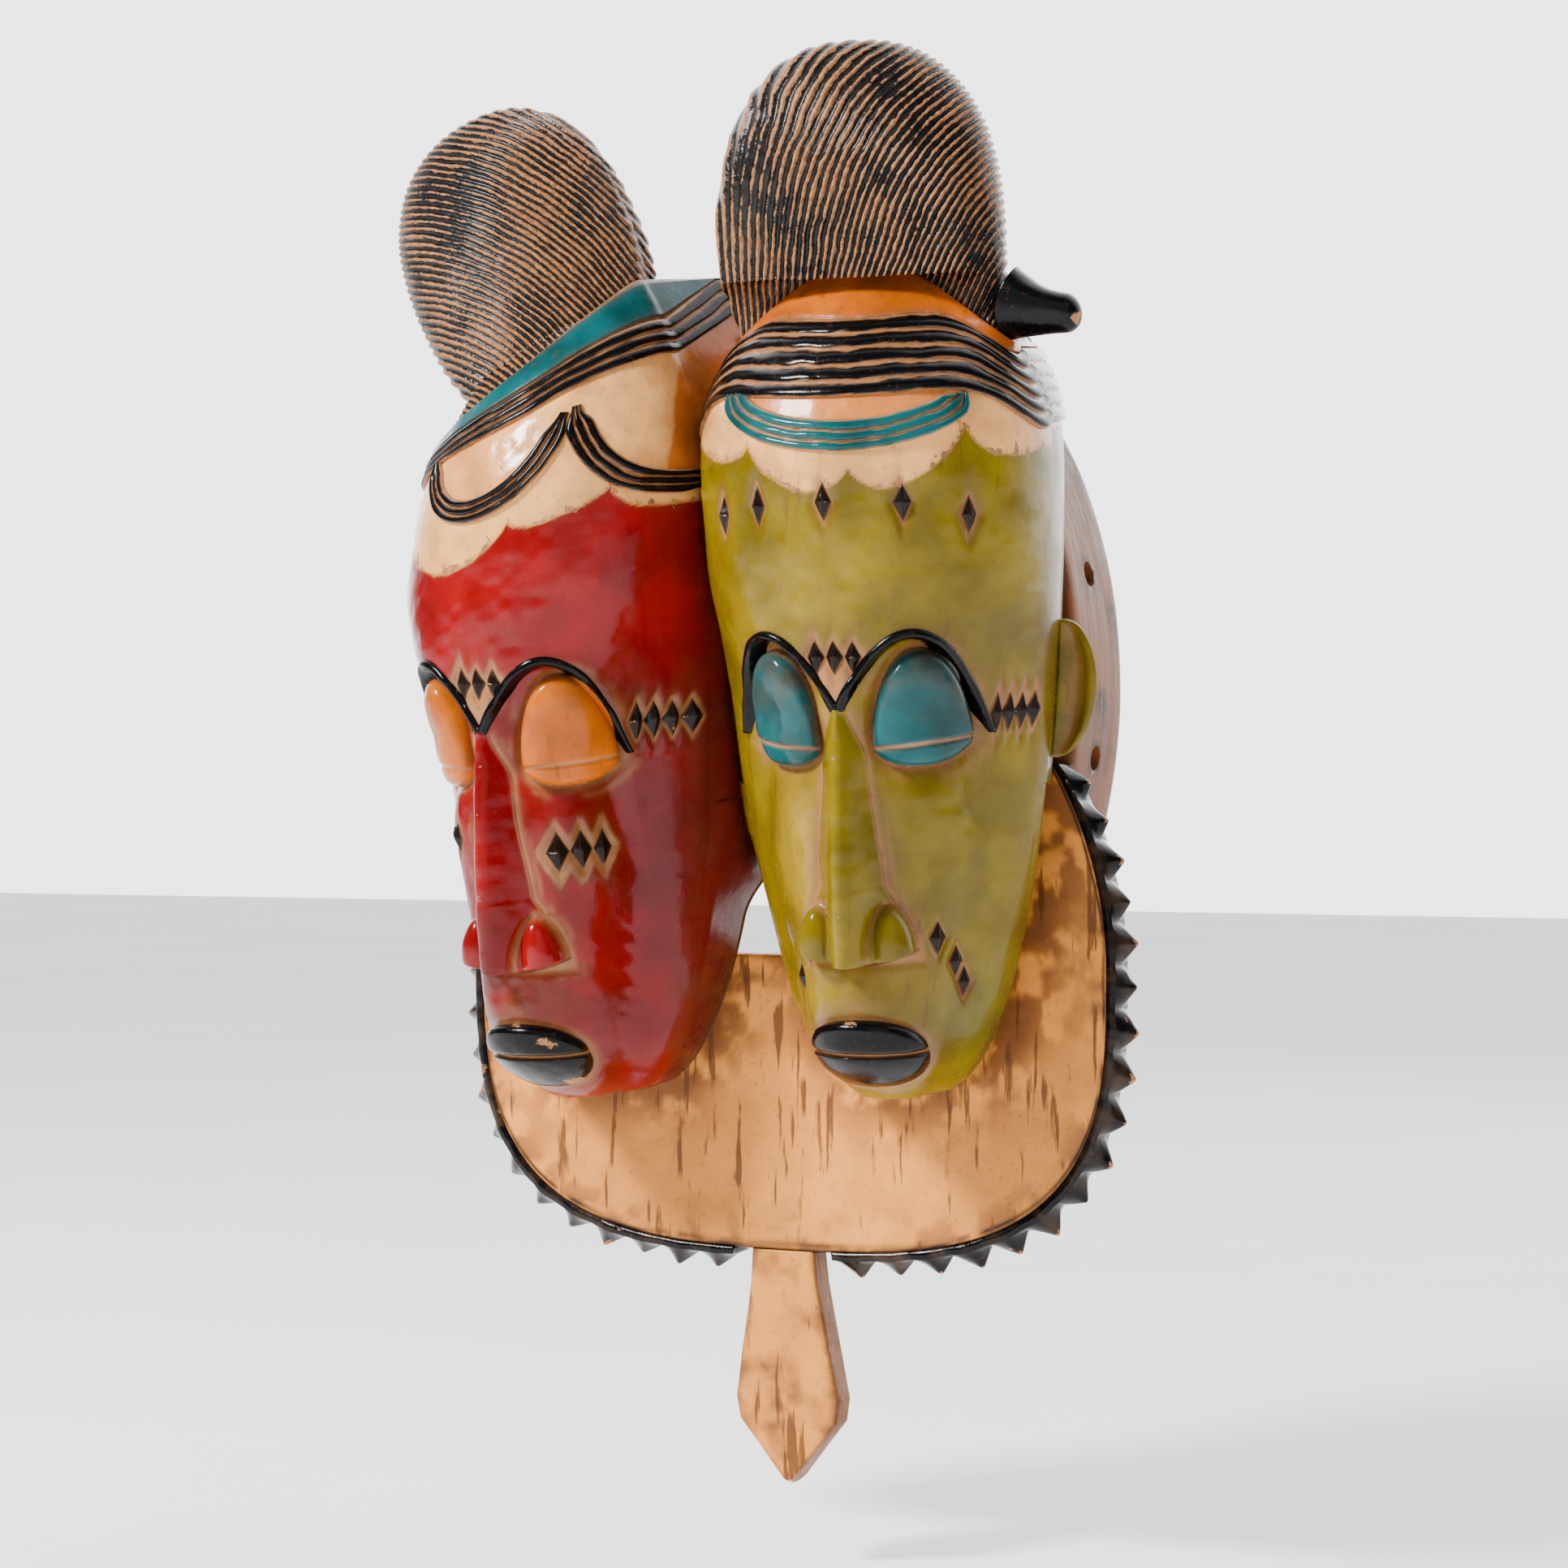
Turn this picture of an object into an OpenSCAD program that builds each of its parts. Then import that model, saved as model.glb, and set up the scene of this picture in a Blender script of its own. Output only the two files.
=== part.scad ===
// Twin-face carved mask, hung by a blind hole at the top of its back rim.
// +Z is up, the faces look along -Y, and the wall plane is Y = 0.

/* [Back rim] */
// Half width of the rim
rim_w = 109; // [107:1:111]
// Half height of the rim
rim_h = 150; // [148:1:152]
// Depth of the rim from the wall to its front edge
rim_depth = 46; // [46:1:48]
// Wall of the rim at its sides
rim_wall = 13; // [12:1:14]
// Wall of the rim at its top and bottom
rim_top_wall = 24; // [22:1:26]
// Radius of the hanging hole
hang_hole_r = 4; // [3:0.5:5]
// Depth of the hanging hole
hang_hole_depth = 15; // [12:1:18]
// Radius of the side holes
side_hole_r = 4.4; // [4:0.2:5]

/* [Collar plate] */
// Thickness of the collar plate and the tab
plate_t = 13; // [12:0.5:14]
// Half width of the collar plate
plate_w = 121.5; // [120:0.5:123]
// Offset of the plate's middle from the rim's middle
plate_x = 3; // [2:0.5:4]
// Height of the bridge between the jaws
bridge_z = -232; // [-236:1:-228]
// Width of the tab where it leaves the plate
tab_neck_w = 24; // [22:1:26]
// Width of the tab at its widest
tab_wide_w = 40; // [36:1:44]
// Length of the tab below the plate
tab_len = 82; // [76:1:86]
// Number of teeth on each side
tooth_count = 17; // [15:1:18]
// How far the teeth stand out
tooth_h = 7.5; // [6:0.5:8]

/* [Heads] */
// Radius of a head at its widest
head_r = 59.7; // [59:0.1:60]
// Forward lean of the heads in degrees
head_lean = 6.8; // [6:0.1:7.5]
// Outward turn of the heads in degrees
head_turn = 6.1; // [5.5:0.1:6.5]
// Wall thickness of the hollow heads
head_wall = 9; // [8:0.5:10]
// How far the nose stands out at its tip
nose_h = 17; // [15:0.5:19]

/* [Coiffures] */
// Half width of a coiffure
coif_w = 50; // [48:1:51]
// Half thickness of a coiffure
coif_t = 32; // [28:1:34]
// Half height of a coiffure
coif_h = 68; // [64:1:70]

/* [Hidden] */
RED = 0;
OLIVE = 1;
rim_z = -138;
plate_front = -(rim_depth + plate_t);
plate_wide_z = -236;
plate_low = 100;
plate_high = 130;
horn_top_z = -165;
seam_x = -3;
band_t = 2.5;

// Head placement: one row per head, red then olive.
head_at = [[-63.5, -98, -76], [58, -98, -68]];
head_side = [-1, 1];
head_size = [0.98, 1];
wide_z = [-45, 0];
chin_len = [168, 213];
top_len = [112, 60];
lean_in = [0.15, 0];
jaw_z = -209;
hollow_z = [-194, 28];
step_z = -105;
front_cols = 24;

// Radius of a head's section at height z.
function up_part(h, z) = 1 - 0.5 * pow((z - wide_z[h]) / top_len[h], 2.5);
function down_part(h, z) = pow(1 - pow((wide_z[h] - z) / chin_len[h], 1.8), 0.35);
function section_r(h, z) = head_r * (z > wide_z[h] ? up_part(h, z) : down_part(h, z));
// The section flattens towards the hairline, and its middle moves sideways on the red head.
function flatten(z) = z > 10 ? 1 - 0.4 * pow((z - 10) / 60, 2) : 1;
function mid_x(h, z) = lean_in[h] * max(0, z - wide_z[h]);
function bump(u, v) = exp(-u * u - v * v);
// Carved relief: eye sockets, cheek hollows and the swelling round the mouth.
function relief(x, z) = -5 * bump((abs(x) - 25) / 15, (z + 82) / 20)
    - 3 * bump((abs(x) - 24) / 16, (z + 125) / 30) + 4 * bump(x / 20, (z + 183) / 15);
// Below the brows the cheeks are cut back on both sides of the nose.
cheek_cut = [11, 7];
function cheek(h, a, z) = -cheek_cut[h] * max(0, 1 - pow((abs(a) - 58) / 32, 2))
    * step01((-20 - z) / 60) * (1 - 0.5 * step01((-150 - z) / 50));
// Turns a point of a head's own frame into the mask's frame.
function lean(p) = [p[0], p[1] * cos(head_lean) - p[2] * sin(head_lean),
    p[1] * sin(head_lean) + p[2] * cos(head_lean)];
function turn(p, a) = [p[0] * cos(a) - p[1] * sin(a), p[0] * sin(a) + p[1] * cos(a), p[2]];
function place(h, p) = head_at[h] + turn(lean(p * head_size[h]), head_side[h] * head_turn);
// Neither head crosses the seam between them; an inset keeps the hollows apart.
function clamp_seam(h, p, inset) = head_side[h] > 0
    ? [max(p[0], seam_x + inset), p[1], p[2]] : [min(p[0], seam_x - inset), p[1], p[2]];
// A point on the face at angle a from the front, height z, standing out by e.
function face_local(h, a, z, e) = let (r = section_r(h, z),
    d = e + relief(r * sin(a), z) + cheek(h, a, z))
    [mid_x(h, z) + (r + d) * sin(a), -(r * flatten(z) + d) * cos(a), z];
function face(h, a, z, e) = clamp_seam(h, place(h, face_local(h, a, z, e)), 0);
// The same, given the distance x from the middle of the face.
function face_x(h, x, z, e) = face(h, asin(max(-0.999, min(0.999, x / section_r(h, z)))), z, e);
// Where a head's line runs straight back onto the plane y = back.
function back_y(h, x, z, back) = let (s = head_side[h] * head_turn)
    ((back - head_at[h][1]) / head_size[h] - sin(s) * x + cos(s) * sin(head_lean) * z)
    / (cos(s) * cos(head_lean));
function step01(u) = let (t = max(0, min(1, u))) t * t * (3 - 2 * t);
// Width of the side wall at the back: narrower outside, flaring to the seam inside.
function wall_x(h, side, z, s, inset) = let (r = section_r(h, z) - inset)
    side == head_side[h] ? r * (1 - 0.16 * s * s) : r + 16 * s * step01((z + 150) / 35);
// The hair line of each head cuts it along this height at sideways distance x.
function cut_z(h, x) = h == OLIVE ? 71 - 28 * pow(x / 46, 2) : 43 + 0.72 * x + 0.004 * x * x;
function cut_at(h, a) = let (z0 = cut_z(h, 45 * sin(a)),
    z1 = cut_z(h, mid_x(h, z0) + section_r(h, z0) * sin(a)),
    z2 = (z1 + cut_z(h, mid_x(h, z1) + section_r(h, z1) * sin(a))) / 2,
    z3 = (z2 + cut_z(h, mid_x(h, z2) + section_r(h, z2) * sin(a))) / 2)
    (z3 + cut_z(h, mid_x(h, z3) + section_r(h, z3) * sin(a))) / 2;

// A column of a head is [side, s, a]: side 0 is the face at angle a, others are side walls.
cols = concat([for (s = [1, 0.7, 0.35]) [-1, s, -90]],
    [for (j = [0:front_cols]) [0, 0, -90 + 180 * j / front_cols]],
    [for (s = [0.35, 0.7, 1]) [1, s, 90]]);
function shell_local(h, c, z, inset, back) = c[0] == 0
    ? face_local(h, c[2], z, -inset)
    : let (x = mid_x(h, z) + c[0] * wall_x(h, c[0], z, c[1], inset))
        [x, c[1] * back_y(h, x, z, back), z];
function shell(h, c, z, inset, back) =
    clamp_seam(h, place(h, shell_local(h, c, z, inset, back)), inset > 0 ? 4 : 0);
// The top of a head runs straight back from its hair line to the rim's front plane.
function cap_end(h, c, z, inset) = let (p = shell_local(h, [c[0], 0, c[2]], z, inset, 0),
    q = c[0] == 0 ? [(p[0] - mid_x(h, z)) * (sign(p[0]) == head_side[h] ? 0.84 : 1) + mid_x(h, z), 0, z]
        : [mid_x(h, z) + c[0] * wall_x(h, c[0], z, 1, inset), 0, z])
    clamp_seam(h, place(h, [q[0], back_y(h, q[0], z, -rim_depth), z]), inset > 0 ? 4 : 0);

// Row heights of a head's skin, with a double row where the back edge steps to the rim.
low_rows = [for (i = [0:13]) i / 13];
high_rows = [for (i = [0:19]) i / 19];
function skin(h, inset, low, top) = concat(
    [for (u = low_rows) [for (c = cols) shell(h, c, low + (step_z - low) * u, inset, plate_front)]],
    [for (u = high_rows) [for (c = cols)
        shell(h, c, step_z + (top(c[2]) - step_z) * u, inset, -rim_depth)]],
    [[for (c = cols) cap_end(h, c, top(c[2]), inset)]]);

function flat2(g) = [for (row = g) each row];
function quad(a, b, c, d) = [[a, b, c], [a, c, d]];
function sheet_faces(m, n, o, flip) = [for (i = [0:m - 2]) for (j = [0:n - 2])
    let (a = o + i * n + j, b = a + n, c = b + 1, d = a + 1)
    each flip ? quad(a, d, c, b) : quad(a, b, c, d)];
// Strips that close the four edges between a top sheet and the sheet that lies o behind it.
function left_strip(m, n, o) = [for (i = [0:m - 2]) let (a = i * n, b = a + n)
    each quad(b, a, a + o, b + o)];
function right_strip(m, n, o) = [for (i = [0:m - 2]) let (a = i * n + n - 1, b = a + n)
    each quad(a, b, b + o, a + o)];
function top_strip(m, n, o) = [for (j = [0:n - 2]) let (a = (m - 1) * n + j)
    each quad(a + 1, a, a + o, a + 1 + o)];
function bottom_strip(n, o) = [for (j = [0:n - 2]) each quad(j, j + 1, j + 1 + o, j + o)];

// A solid between the face and a grid of [x, z, height] points that stands out of it.
module raised(h, g) {
    m = len(g);
    n = len(g[0]);
    o = m * n;
    pts = concat([for (row = g) for (p = row) face_x(h, p[0], p[1], p[2])],
        [for (row = g) for (p = row) face_x(h, p[0], p[1], 0)]);
    polyhedron(pts, concat(sheet_faces(m, n, 0, false), sheet_faces(m, n, o, true),
        left_strip(m, n, o), right_strip(m, n, o), top_strip(m, n, o), bottom_strip(n, o)));
}

// The same with points given as [angle, z, height].
module raised_by_angle(h, g) {
    m = len(g);
    n = len(g[0]);
    o = m * n;
    pts = concat([for (row = g) for (p = row) face(h, p[0], p[1], p[2])],
        [for (row = g) for (p = row) face(h, p[0], p[1], 0)]);
    polyhedron(pts, concat(sheet_faces(m, n, 0, false), sheet_faces(m, n, o, true),
        left_strip(m, n, o), right_strip(m, n, o), top_strip(m, n, o), bottom_strip(n, o)));
}

// A hollow head, open at the back.
module head_shell(h) {
    outer = skin(h, 0, jaw_z, function(a) cut_at(h, a));
    inner = skin(h, head_wall, hollow_z[0], function(a) min(hollow_z[1], cut_at(h, a) - 14));
    m = len(outer);
    n = len(cols);
    o = m * n;
    polyhedron(concat(flat2(outer), flat2(inner)), concat(
        sheet_faces(m, n, 0, false), sheet_faces(m, n, o, true),
        left_strip(m, n, o), right_strip(m, n, o), top_strip(m, n, o),
        [[for (j = [0:n - 1]) j]], [[for (j = [n - 1:-1:0]) o + j]],
        quad(0, n - 1, o + n - 1, o)));
}

// Black brow: two arches that meet in a V over the nose.
function brow_point(u, side) = let (x = 1 + 48 * u, arch = max(0, sin(180 * pow(u, 1.05))))
    [side * x, -74 + 23.5 * pow(arch, 0.85) - 11 * pow(u, 5)];
module brow(h) {
    for (side = [-1, 1])
        raised(h, [for (i = [0:2]) [for (j = [0:16])
            let (u = side > 0 ? j / 16 : 1 - j / 16, p = brow_point(u, side))
            [p[0], p[1] + 1.6 * (i - 1), i == 1 ? 2.2 : 0.5]]]);
}

// Nose: a straight ridge that widens into two wings.
function nose_w(z) = 4 + 5 * step01((-80 - z) / 60) + 9 * step01((-132 - z) / 22);
function nose_out(z) = 2.5 + (nose_h - 2.5) * step01((-72 - z) / 95) - (z < -156 ? 7 : 0);
module nose(h) {
    raised(h, [for (z = [-160, -156, -150, -142, -132, -120, -108, -96, -84, -76])
        [for (j = [-5:5]) let (u = j / 5) [u * nose_w(z), z, 0.5 + nose_out(z) * pow(1 - u * u, 0.8)]]]);
}

// Eyelids: half-closed almonds, flat below and arched above.
eye_in = [[9.5, 12.3], [8.5, 10.5]];
eye_out = [[43.5, 46.7], [43.5, 45.5]];
module eyelids(h) {
    for (k = [0, 1]) {
        side = k == 0 ? -1 : 1;
        mid = side * (eye_in[h][k] + eye_out[h][k]) / 2;
        half = (eye_out[h][k] - eye_in[h][k]) / 2;
        raised(h, [for (i = [0:8]) [for (j = [-5:5])
            let (u = j / 5, w = sqrt(1 - 0.96 * u * u), v = i / 8)
            [mid + half * u, -86 - 8 * w + (8 + 30 * w) * v * w,
                0.5 + 7 * w * sqrt(1 - pow(2 * v - 1, 2) * 0.98)]]]);
    }
}

// Lips: two full black lips that meet at a slit.
mouth_w = 18;
mouth_z = -190;
lip_h = [12, 14.5];
module lips(h) {
    raised(h, [for (v = [-1, -0.75, -0.4, -0.12, 0, 0.12, 0.4, 0.75, 1]) [for (j = [-5:5])
        let (u = j / 5, w = 1 - 0.94 * u * u, t = abs(v))
        [mouth_w * u, mouth_z + v * w * lip_h[v > 0 ? 0 : 1],
            0.6 + 5 * w * sin(180 * min(1, t + 0.15)) * (1 - 0.7 * t)]]]);
}

// Scar lozenges: small four-sided pyramids.
module lozenge(h, x, z, half_w, half_h) {
    polyhedron([face_x(h, x, z + half_h, 0), face_x(h, x + half_w, z, 0), face_x(h, x, z - half_h, 0),
        face_x(h, x - half_w, z, 0), face_x(h, x, z, 2.2)],
        [[4, 0, 1], [4, 1, 2], [4, 2, 3], [4, 3, 0], [0, 3, 1], [1, 3, 2]]);
}
module lozenge_row(h, start, pitch, z, count, half_w, half_h) {
    for (i = [0:count - 1]) lozenge(h, start + pitch * i, z, half_w, half_h);
}

// Ear: a thin shell that stands out from the side wall.
ear_out = [4, 13];
ear_low = -97;
ear_tall = 46;
module ear(h) {
    side = head_side[h];
    rows = [for (i = [0:10])
        let (v = i / 10, z = ear_low + ear_tall * v,
            e = 1 + ear_out[h] * sqrt(1 - 0.99 * pow(2 * v - 1, 2)),
            a = shell(h, [side, 0.3, 0], z, 0, -rim_depth), b = shell(h, [side, 0.5, 0], z, 0, -rim_depth))
        side > 0 ? [a, a + [e, 1, 0], b + [e, 0, 0], b] : [b, b + [-e, 0, 0], a + [-e, 1, 0], a]];
    n = 4;
    last = 10 * n;
    polyhedron(flat2(rows), concat(
        [for (i = [0:9]) for (j = [0:3]) let (a = i * n + j, d = i * n + (j + 1) % n)
            each quad(a, a + n, d + n, d)],
        [[0, 1, 2, 3], [last + 3, last + 2, last + 1, last]]));
}

// A band that follows the hair line: it reaches from far to near below the cut, at each angle.
module hair_band(h, a0, a1, near, far, out) {
    count = 20;
    raised_by_angle(h, [for (v = [0, 0.5, 1]) [for (j = [0:count])
        let (a = a0 + (a1 - a0) * j / count, z = cut_at(h, a), lo = far(a), hi = near(a))
        [a, z - lo + (lo - hi) * v, v == 0.5 ? out : 0.6]]]);
}
function red_teal_depth(a) = 5 + 9 * step01((a + 45) / 60);
function red_ridge_depth(a) = 13 + 13 * step01((a + 45) / 60);
function olive_orange_depth(a) = 2 + 18 * pow(max(0, cos(a)), 0.8);
function olive_ridge_depth(a) = olive_orange_depth(a) + 25;

// A raised band along an arc through points given by a function of u from 0 to 1.
module loop_band(h, path, width, out) {
    count = 18;
    raised(h, [for (i = [0:2]) [for (j = [0:count])
        let (u = j / count, p = path(u), q = path(min(1, u + 0.01)), r = path(max(0, u - 0.01)),
            t = (q - r) / norm(q - r), s = (i - 1) * width / 2)
        [p[0] - t[1] * s, p[1] + t[0] * s, i == 1 ? out : 0.5]]]);
}
function red_left_loop(u) = [-6 - 24 * cos(180 * u), 20 - 19 * sin(180 * u) + 4 * u];
function red_right_loop(u) = [26 + 31 * u, 28 - 23 * sin(90 * pow(u, 0.9)) + 3 * u];
function olive_loop(u) = [2 - 38 * cos(180 * u), 30 - 14 * sin(180 * u) - 4 * u];

// Coiffure: a grooved disc that grows out of the top of a head.
coif_mid = [[-12, 6, 85.5], [-4, 0, 75]];
coif_tilt = [24, 0];
coif_size = [[0.96 * coif_w, coif_t - 2, 0.84 * coif_h], [coif_w, coif_t, coif_h]];
coif_start = [-32, -6];
foot_a = [[-86, 38], [-88, 88]];
foot_cols = 16;
function coif_loop(h, phi, t) = let (w = pow(cos(phi), 0.85), up = sign(phi) * pow(abs(sin(phi)), 0.85),
    s = coif_size[h], r = coif_tilt[h])
    place(h, coif_mid[h] + [s[0] * (w * cos(t) * cos(r) - up * sin(r)), s[1] * w * sin(t),
        s[2] * (w * cos(t) * sin(r) + up * cos(r))]);
function cap_point(h, a, f) = let (c = [0, 0, a], z = cut_at(h, a))
    (1 - f) * shell(h, c, z, 0, 0) + f * cap_end(h, c, z, 0);
module coiffure(h) {
    n = foot_cols + 1;
    span = foot_a[h][1] - foot_a[h][0];
    angle = [for (j = [0:foot_cols]) foot_a[h][0] + span * j / foot_cols];
    base = concat([for (a = angle) cap_point(h, a, 0.04)],
        [for (j = [foot_cols:-1:0]) cap_point(h, angle[j], 0.62)]);
    gap = 90 / n;
    theta = concat([for (j = [0:foot_cols]) 180 + gap + (180 - 2 * gap) * j / foot_cols],
        [for (j = [0:foot_cols]) gap + (180 - 2 * gap) * j / foot_cols]);
    rise = [for (i = [0:9]) coif_start[h] + (87 - coif_start[h]) * i / 9];
    loops = concat([base], [for (phi = rise) [for (t = theta) coif_loop(h, phi, t)]]);
    m = len(loops);
    k = 2 * n;
    polyhedron(flat2(loops), concat(
        [for (i = [0:m - 2]) for (j = [0:k - 1]) let (a = i * k + j, d = i * k + (j + 1) % k)
            each quad(a, a + k, d + k, d)],
        [for (j = [0:foot_cols - 1]) each quad(j, j + 1, k - 2 - j, k - 1 - j)],
        [[for (j = [k - 1:-1:0]) (m - 1) * k + j]]));
}

// Hair lock: a curved horn at the side of the olive coiffure.
horn_len = 22;
horn_r = 12;
module hair_horn() {
    count = 16;
    rings = [for (u = [0, 0.12, 0.3, 0.5, 0.7, 0.85, 0.95, 1]) [for (j = [0:count - 1])
        let (t = 360 * j / count, r = horn_r * (1 - 0.72 * pow(u, 1.6)),
            y = 0.9 * r * cos(t), z = 54 - 3 * u + r * sin(t),
            root = (46 + 5 * step01((z - 45) / 31)) * sqrt(1 - pow(y / (coif_t + 4), 2)))
        place(OLIVE, [root * (1 - u) + (46 + horn_len + 3) * u, y, z])]];
    polyhedron(flat2(rings), concat(
        [for (i = [0:6]) for (j = [0:count - 1])
            let (a = i * count + j, d = i * count + (j + 1) % count)
            each quad(a, a + count, d + count, d)],
        [[for (j = [0:count - 1]) j]], [[for (j = [count - 1:-1:0]) 7 * count + j]]));
}

function ellipse(w, h, n) = [for (i = [0:n - 1]) [w * cos(360 * i / n), h * sin(360 * i / n)]];

// Back rim: an oval ring with a hanging hole in its back and two holes in each side.
side_hole_z = [-99, -163];
side_hole_drop = 10;
module back_rim() {
    color("saddlebrown") difference() {
        translate([0, 0, rim_z]) rotate([90, 0, 0]) linear_extrude(rim_depth) difference() {
            polygon(ellipse(rim_w, rim_h, 96));
            polygon(ellipse(rim_w - rim_wall, rim_h - rim_top_wall, 96));
        }
        translate([0, 0.1, 0]) rotate([90, 0, 0])
            cylinder(h = hang_hole_depth + 0.1, r = hang_hole_r, $fn = 48);
        for (side = [-1, 1]) for (z = side_hole_z)
            translate([side * (rim_w - 36), -25, side > 0 ? z : z - side_hole_drop]) rotate([0, side * 90, 0])
                cylinder(h = 50, r = side_hole_r, $fn = 48);
    }
}

// Outer edge of the collar plate at angle t, grown by g: 0 is the bottom, 1 a horn's top.
function power_arc(t, w, h, n) = [w * pow(sin(t), 2 / n), h * pow(cos(t), 2 / n)];
edge_square = 3.1;
function edge_low(t, g) = let (p = power_arc(t, plate_w + g, plate_low + g, edge_square))
    [p[0], plate_wide_z - p[1]];
horn_angle = asin((horn_top_z - plate_wide_z) / plate_high);
function edge_high(t, g) = [(plate_w + g) * cos(t), plate_wide_z + plate_high * sin(t)];
module plate_outline() {
    right = concat([for (i = [0:24]) edge_low(90 * i / 24, 0)],
        [for (i = [1:8]) edge_high(horn_angle * i / 8, 0)]);
    inner = concat([for (i = [0:10]) let (t = 90 * i / 10)
        [94 - 18 * sin(t) * sin(t), horn_top_z + (bridge_z - horn_top_z) * sin(t)]], [[30, bridge_z]]);
    half = concat(right, inner);
    mirrored = [for (i = [len(half) - 1:-1:1]) [-half[i][0], half[i][1]]];
    polygon(concat(half, mirrored));
}
module collar_plate() {
    color("burlywood") translate([plate_x, -rim_depth, 0]) rotate([90, 0, 0]) linear_extrude(plate_t)
        plate_outline();
}

// Tab: a spear-shaped pendant below the plate, leaning a little.
tab_top = plate_wide_z - plate_low + 0.15;
tab_lean = 0.03;
module pendant_tab() {
    n = tab_neck_w / 2;
    w = tab_wide_w / 2;
    half = [[n, 0], [n + 1, -12], [w, -52], [w - 1.4, -60]];
    outline = concat(half, [[0, -tab_len]], [for (i = [3:-1:0]) [-half[i][0], half[i][1]]]);
    color("burlywood") translate([plate_x, -rim_depth, tab_top - 0.15]) rotate([90, 0, 0])
        linear_extrude(plate_t) polygon([for (p = outline) [p[0] - tab_lean * p[1], p[1]]]);
}

// A point along the plate's edge from beside the tab (0) to the horn's top (1), grown by g.
edge_split = 0.76;
function edge_point(u, g) = u < edge_split
    ? edge_low(0.4 + 89.6 * u / edge_split, g)
    : edge_high(horn_angle * (u - edge_split) / (1 - edge_split), g);
edge_steps = 200;
edge_table = [for (i = [0:edge_steps]) edge_point(i / edge_steps, 0)];
edge_run = [for (i = 0, s = 0; i <= edge_steps;
    i = i + 1, s = s + (i > edge_steps ? 0 : norm(edge_table[i] - edge_table[i - 1]))) s];
edge_lookup = [for (i = [0:edge_steps]) [edge_run[i], i / edge_steps]];
function edge_at(s, g) = edge_point(lookup(s, edge_lookup), g);
module tooth_border(side) {
    first = tab_neck_w / 2 + 2;
    pitch = (edge_run[edge_steps] - first) / tooth_count;
    steps = 2 * tooth_count;
    rings = [for (i = [0:steps]) let (s = first + pitch * i / 2, a = edge_at(s, 0), b = edge_at(s, band_t),
        c = edge_at(s, i % 2 == 0 ? band_t : band_t + tooth_h))
        [[a, 0], [b, 0], [c, plate_t / 2], [b, plate_t], [a, plate_t]]];
    pts = [for (r = rings) for (q = r) [plate_x + side * q[0][0], -rim_depth - q[1], q[0][1]]];
    last = 5 * steps;
    walls = [for (i = [0:steps - 1]) for (j = [0:4]) let (a = 5 * i + j, d = 5 * i + (j + 1) % 5)
        each side > 0 ? quad(a, d, d + 5, a + 5) : quad(a, a + 5, d + 5, d)];
    ends = side > 0 ? [[4, 3, 2, 1, 0], [for (j = [0:4]) last + j]]
        : [[0, 1, 2, 3, 4], [for (j = [4:-1:0]) last + j]];
    color("black") polyhedron(pts, concat(walls, ends));
}
module tooth_border_left() tooth_border(-1);
module tooth_border_right() tooth_border(1);

module red_head() color("crimson") head_shell(RED);
module red_brow() color("black") brow(RED);
module red_nose() color("crimson") nose(RED);
module red_eyelids() color("orange") eyelids(RED);
module red_lips() color("black") lips(RED);
module red_ear() color("crimson") ear(RED);
module red_brow_lozenges() color("black") lozenge_row(RED, -6, 7, -57, 3, 2.8, 4.5);
module red_temple_lozenges() color("black")
    for (i = [0:3]) lozenge(RED, 51.5 + 2.1 * i, -74, 1.8, 5);
module red_cheek_lozenges() color("black") {
    lozenge_row(RED, 23, 8, -117, 3, 3.6, 5);
    lozenge_row(RED, -39, 8, -112, 3, 3.6, 5);
}
module red_teal_band() color("teal")
    hair_band(RED, -85, 84, function(a) 0, function(a) red_teal_depth(a), 1.5);
module red_hair_ridges() color("black")
    hair_band(RED, -85, 84, function(a) red_teal_depth(a), function(a) red_ridge_depth(a), 2);
module red_hair_loops() color("black") {
    loop_band(RED, function(u) red_left_loop(u), 7, 2);
    loop_band(RED, function(u) red_right_loop(u), 7, 2);
}
module red_coiffure() color("dimgray") coiffure(RED);

module olive_head() color("olive") head_shell(OLIVE);
module olive_brow() color("black") brow(OLIVE);
module olive_nose() color("olive") nose(OLIVE);
module olive_eyelids() color("teal") eyelids(OLIVE);
module olive_lips() color("black") lips(OLIVE);
module olive_ear() color("olive") ear(OLIVE);
module olive_forehead_lozenges() color("black")
    for (p = [[-41, -11], [-25, -8], [-1, -7], [24, -8], [43, -13]]) lozenge(OLIVE, p[0], p[1], 2.8, 6);
module olive_brow_lozenges() color("black") lozenge_row(OLIVE, -7, 7, -57, 3, 2.8, 4.5);
module olive_temple_lozenges() color("black")
    for (i = [0:3]) lozenge(OLIVE, 50 + 2.2 * i, -79, 1.8, 5);
module olive_cheek_lozenges() color("black")
    for (p = [[27, -152], [34, -160], [34, -168], [-23, -157], [-27, -169]])
        lozenge(OLIVE, p[0], p[1], 2.8, 4);
module olive_orange_band() color("darkorange")
    hair_band(OLIVE, -85, 85, function(a) 0, function(a) olive_orange_depth(a), 1.2);
module olive_hair_ridges() color("black")
    hair_band(OLIVE, -85, 85, function(a) olive_orange_depth(a), function(a) olive_ridge_depth(a), 2);
module olive_teal_loops() color("teal") loop_band(OLIVE, function(u) olive_loop(u), 9, 2);
module olive_coiffure() color("dimgray") coiffure(OLIVE);
module olive_hair_horn() color("black") hair_horn();

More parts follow.
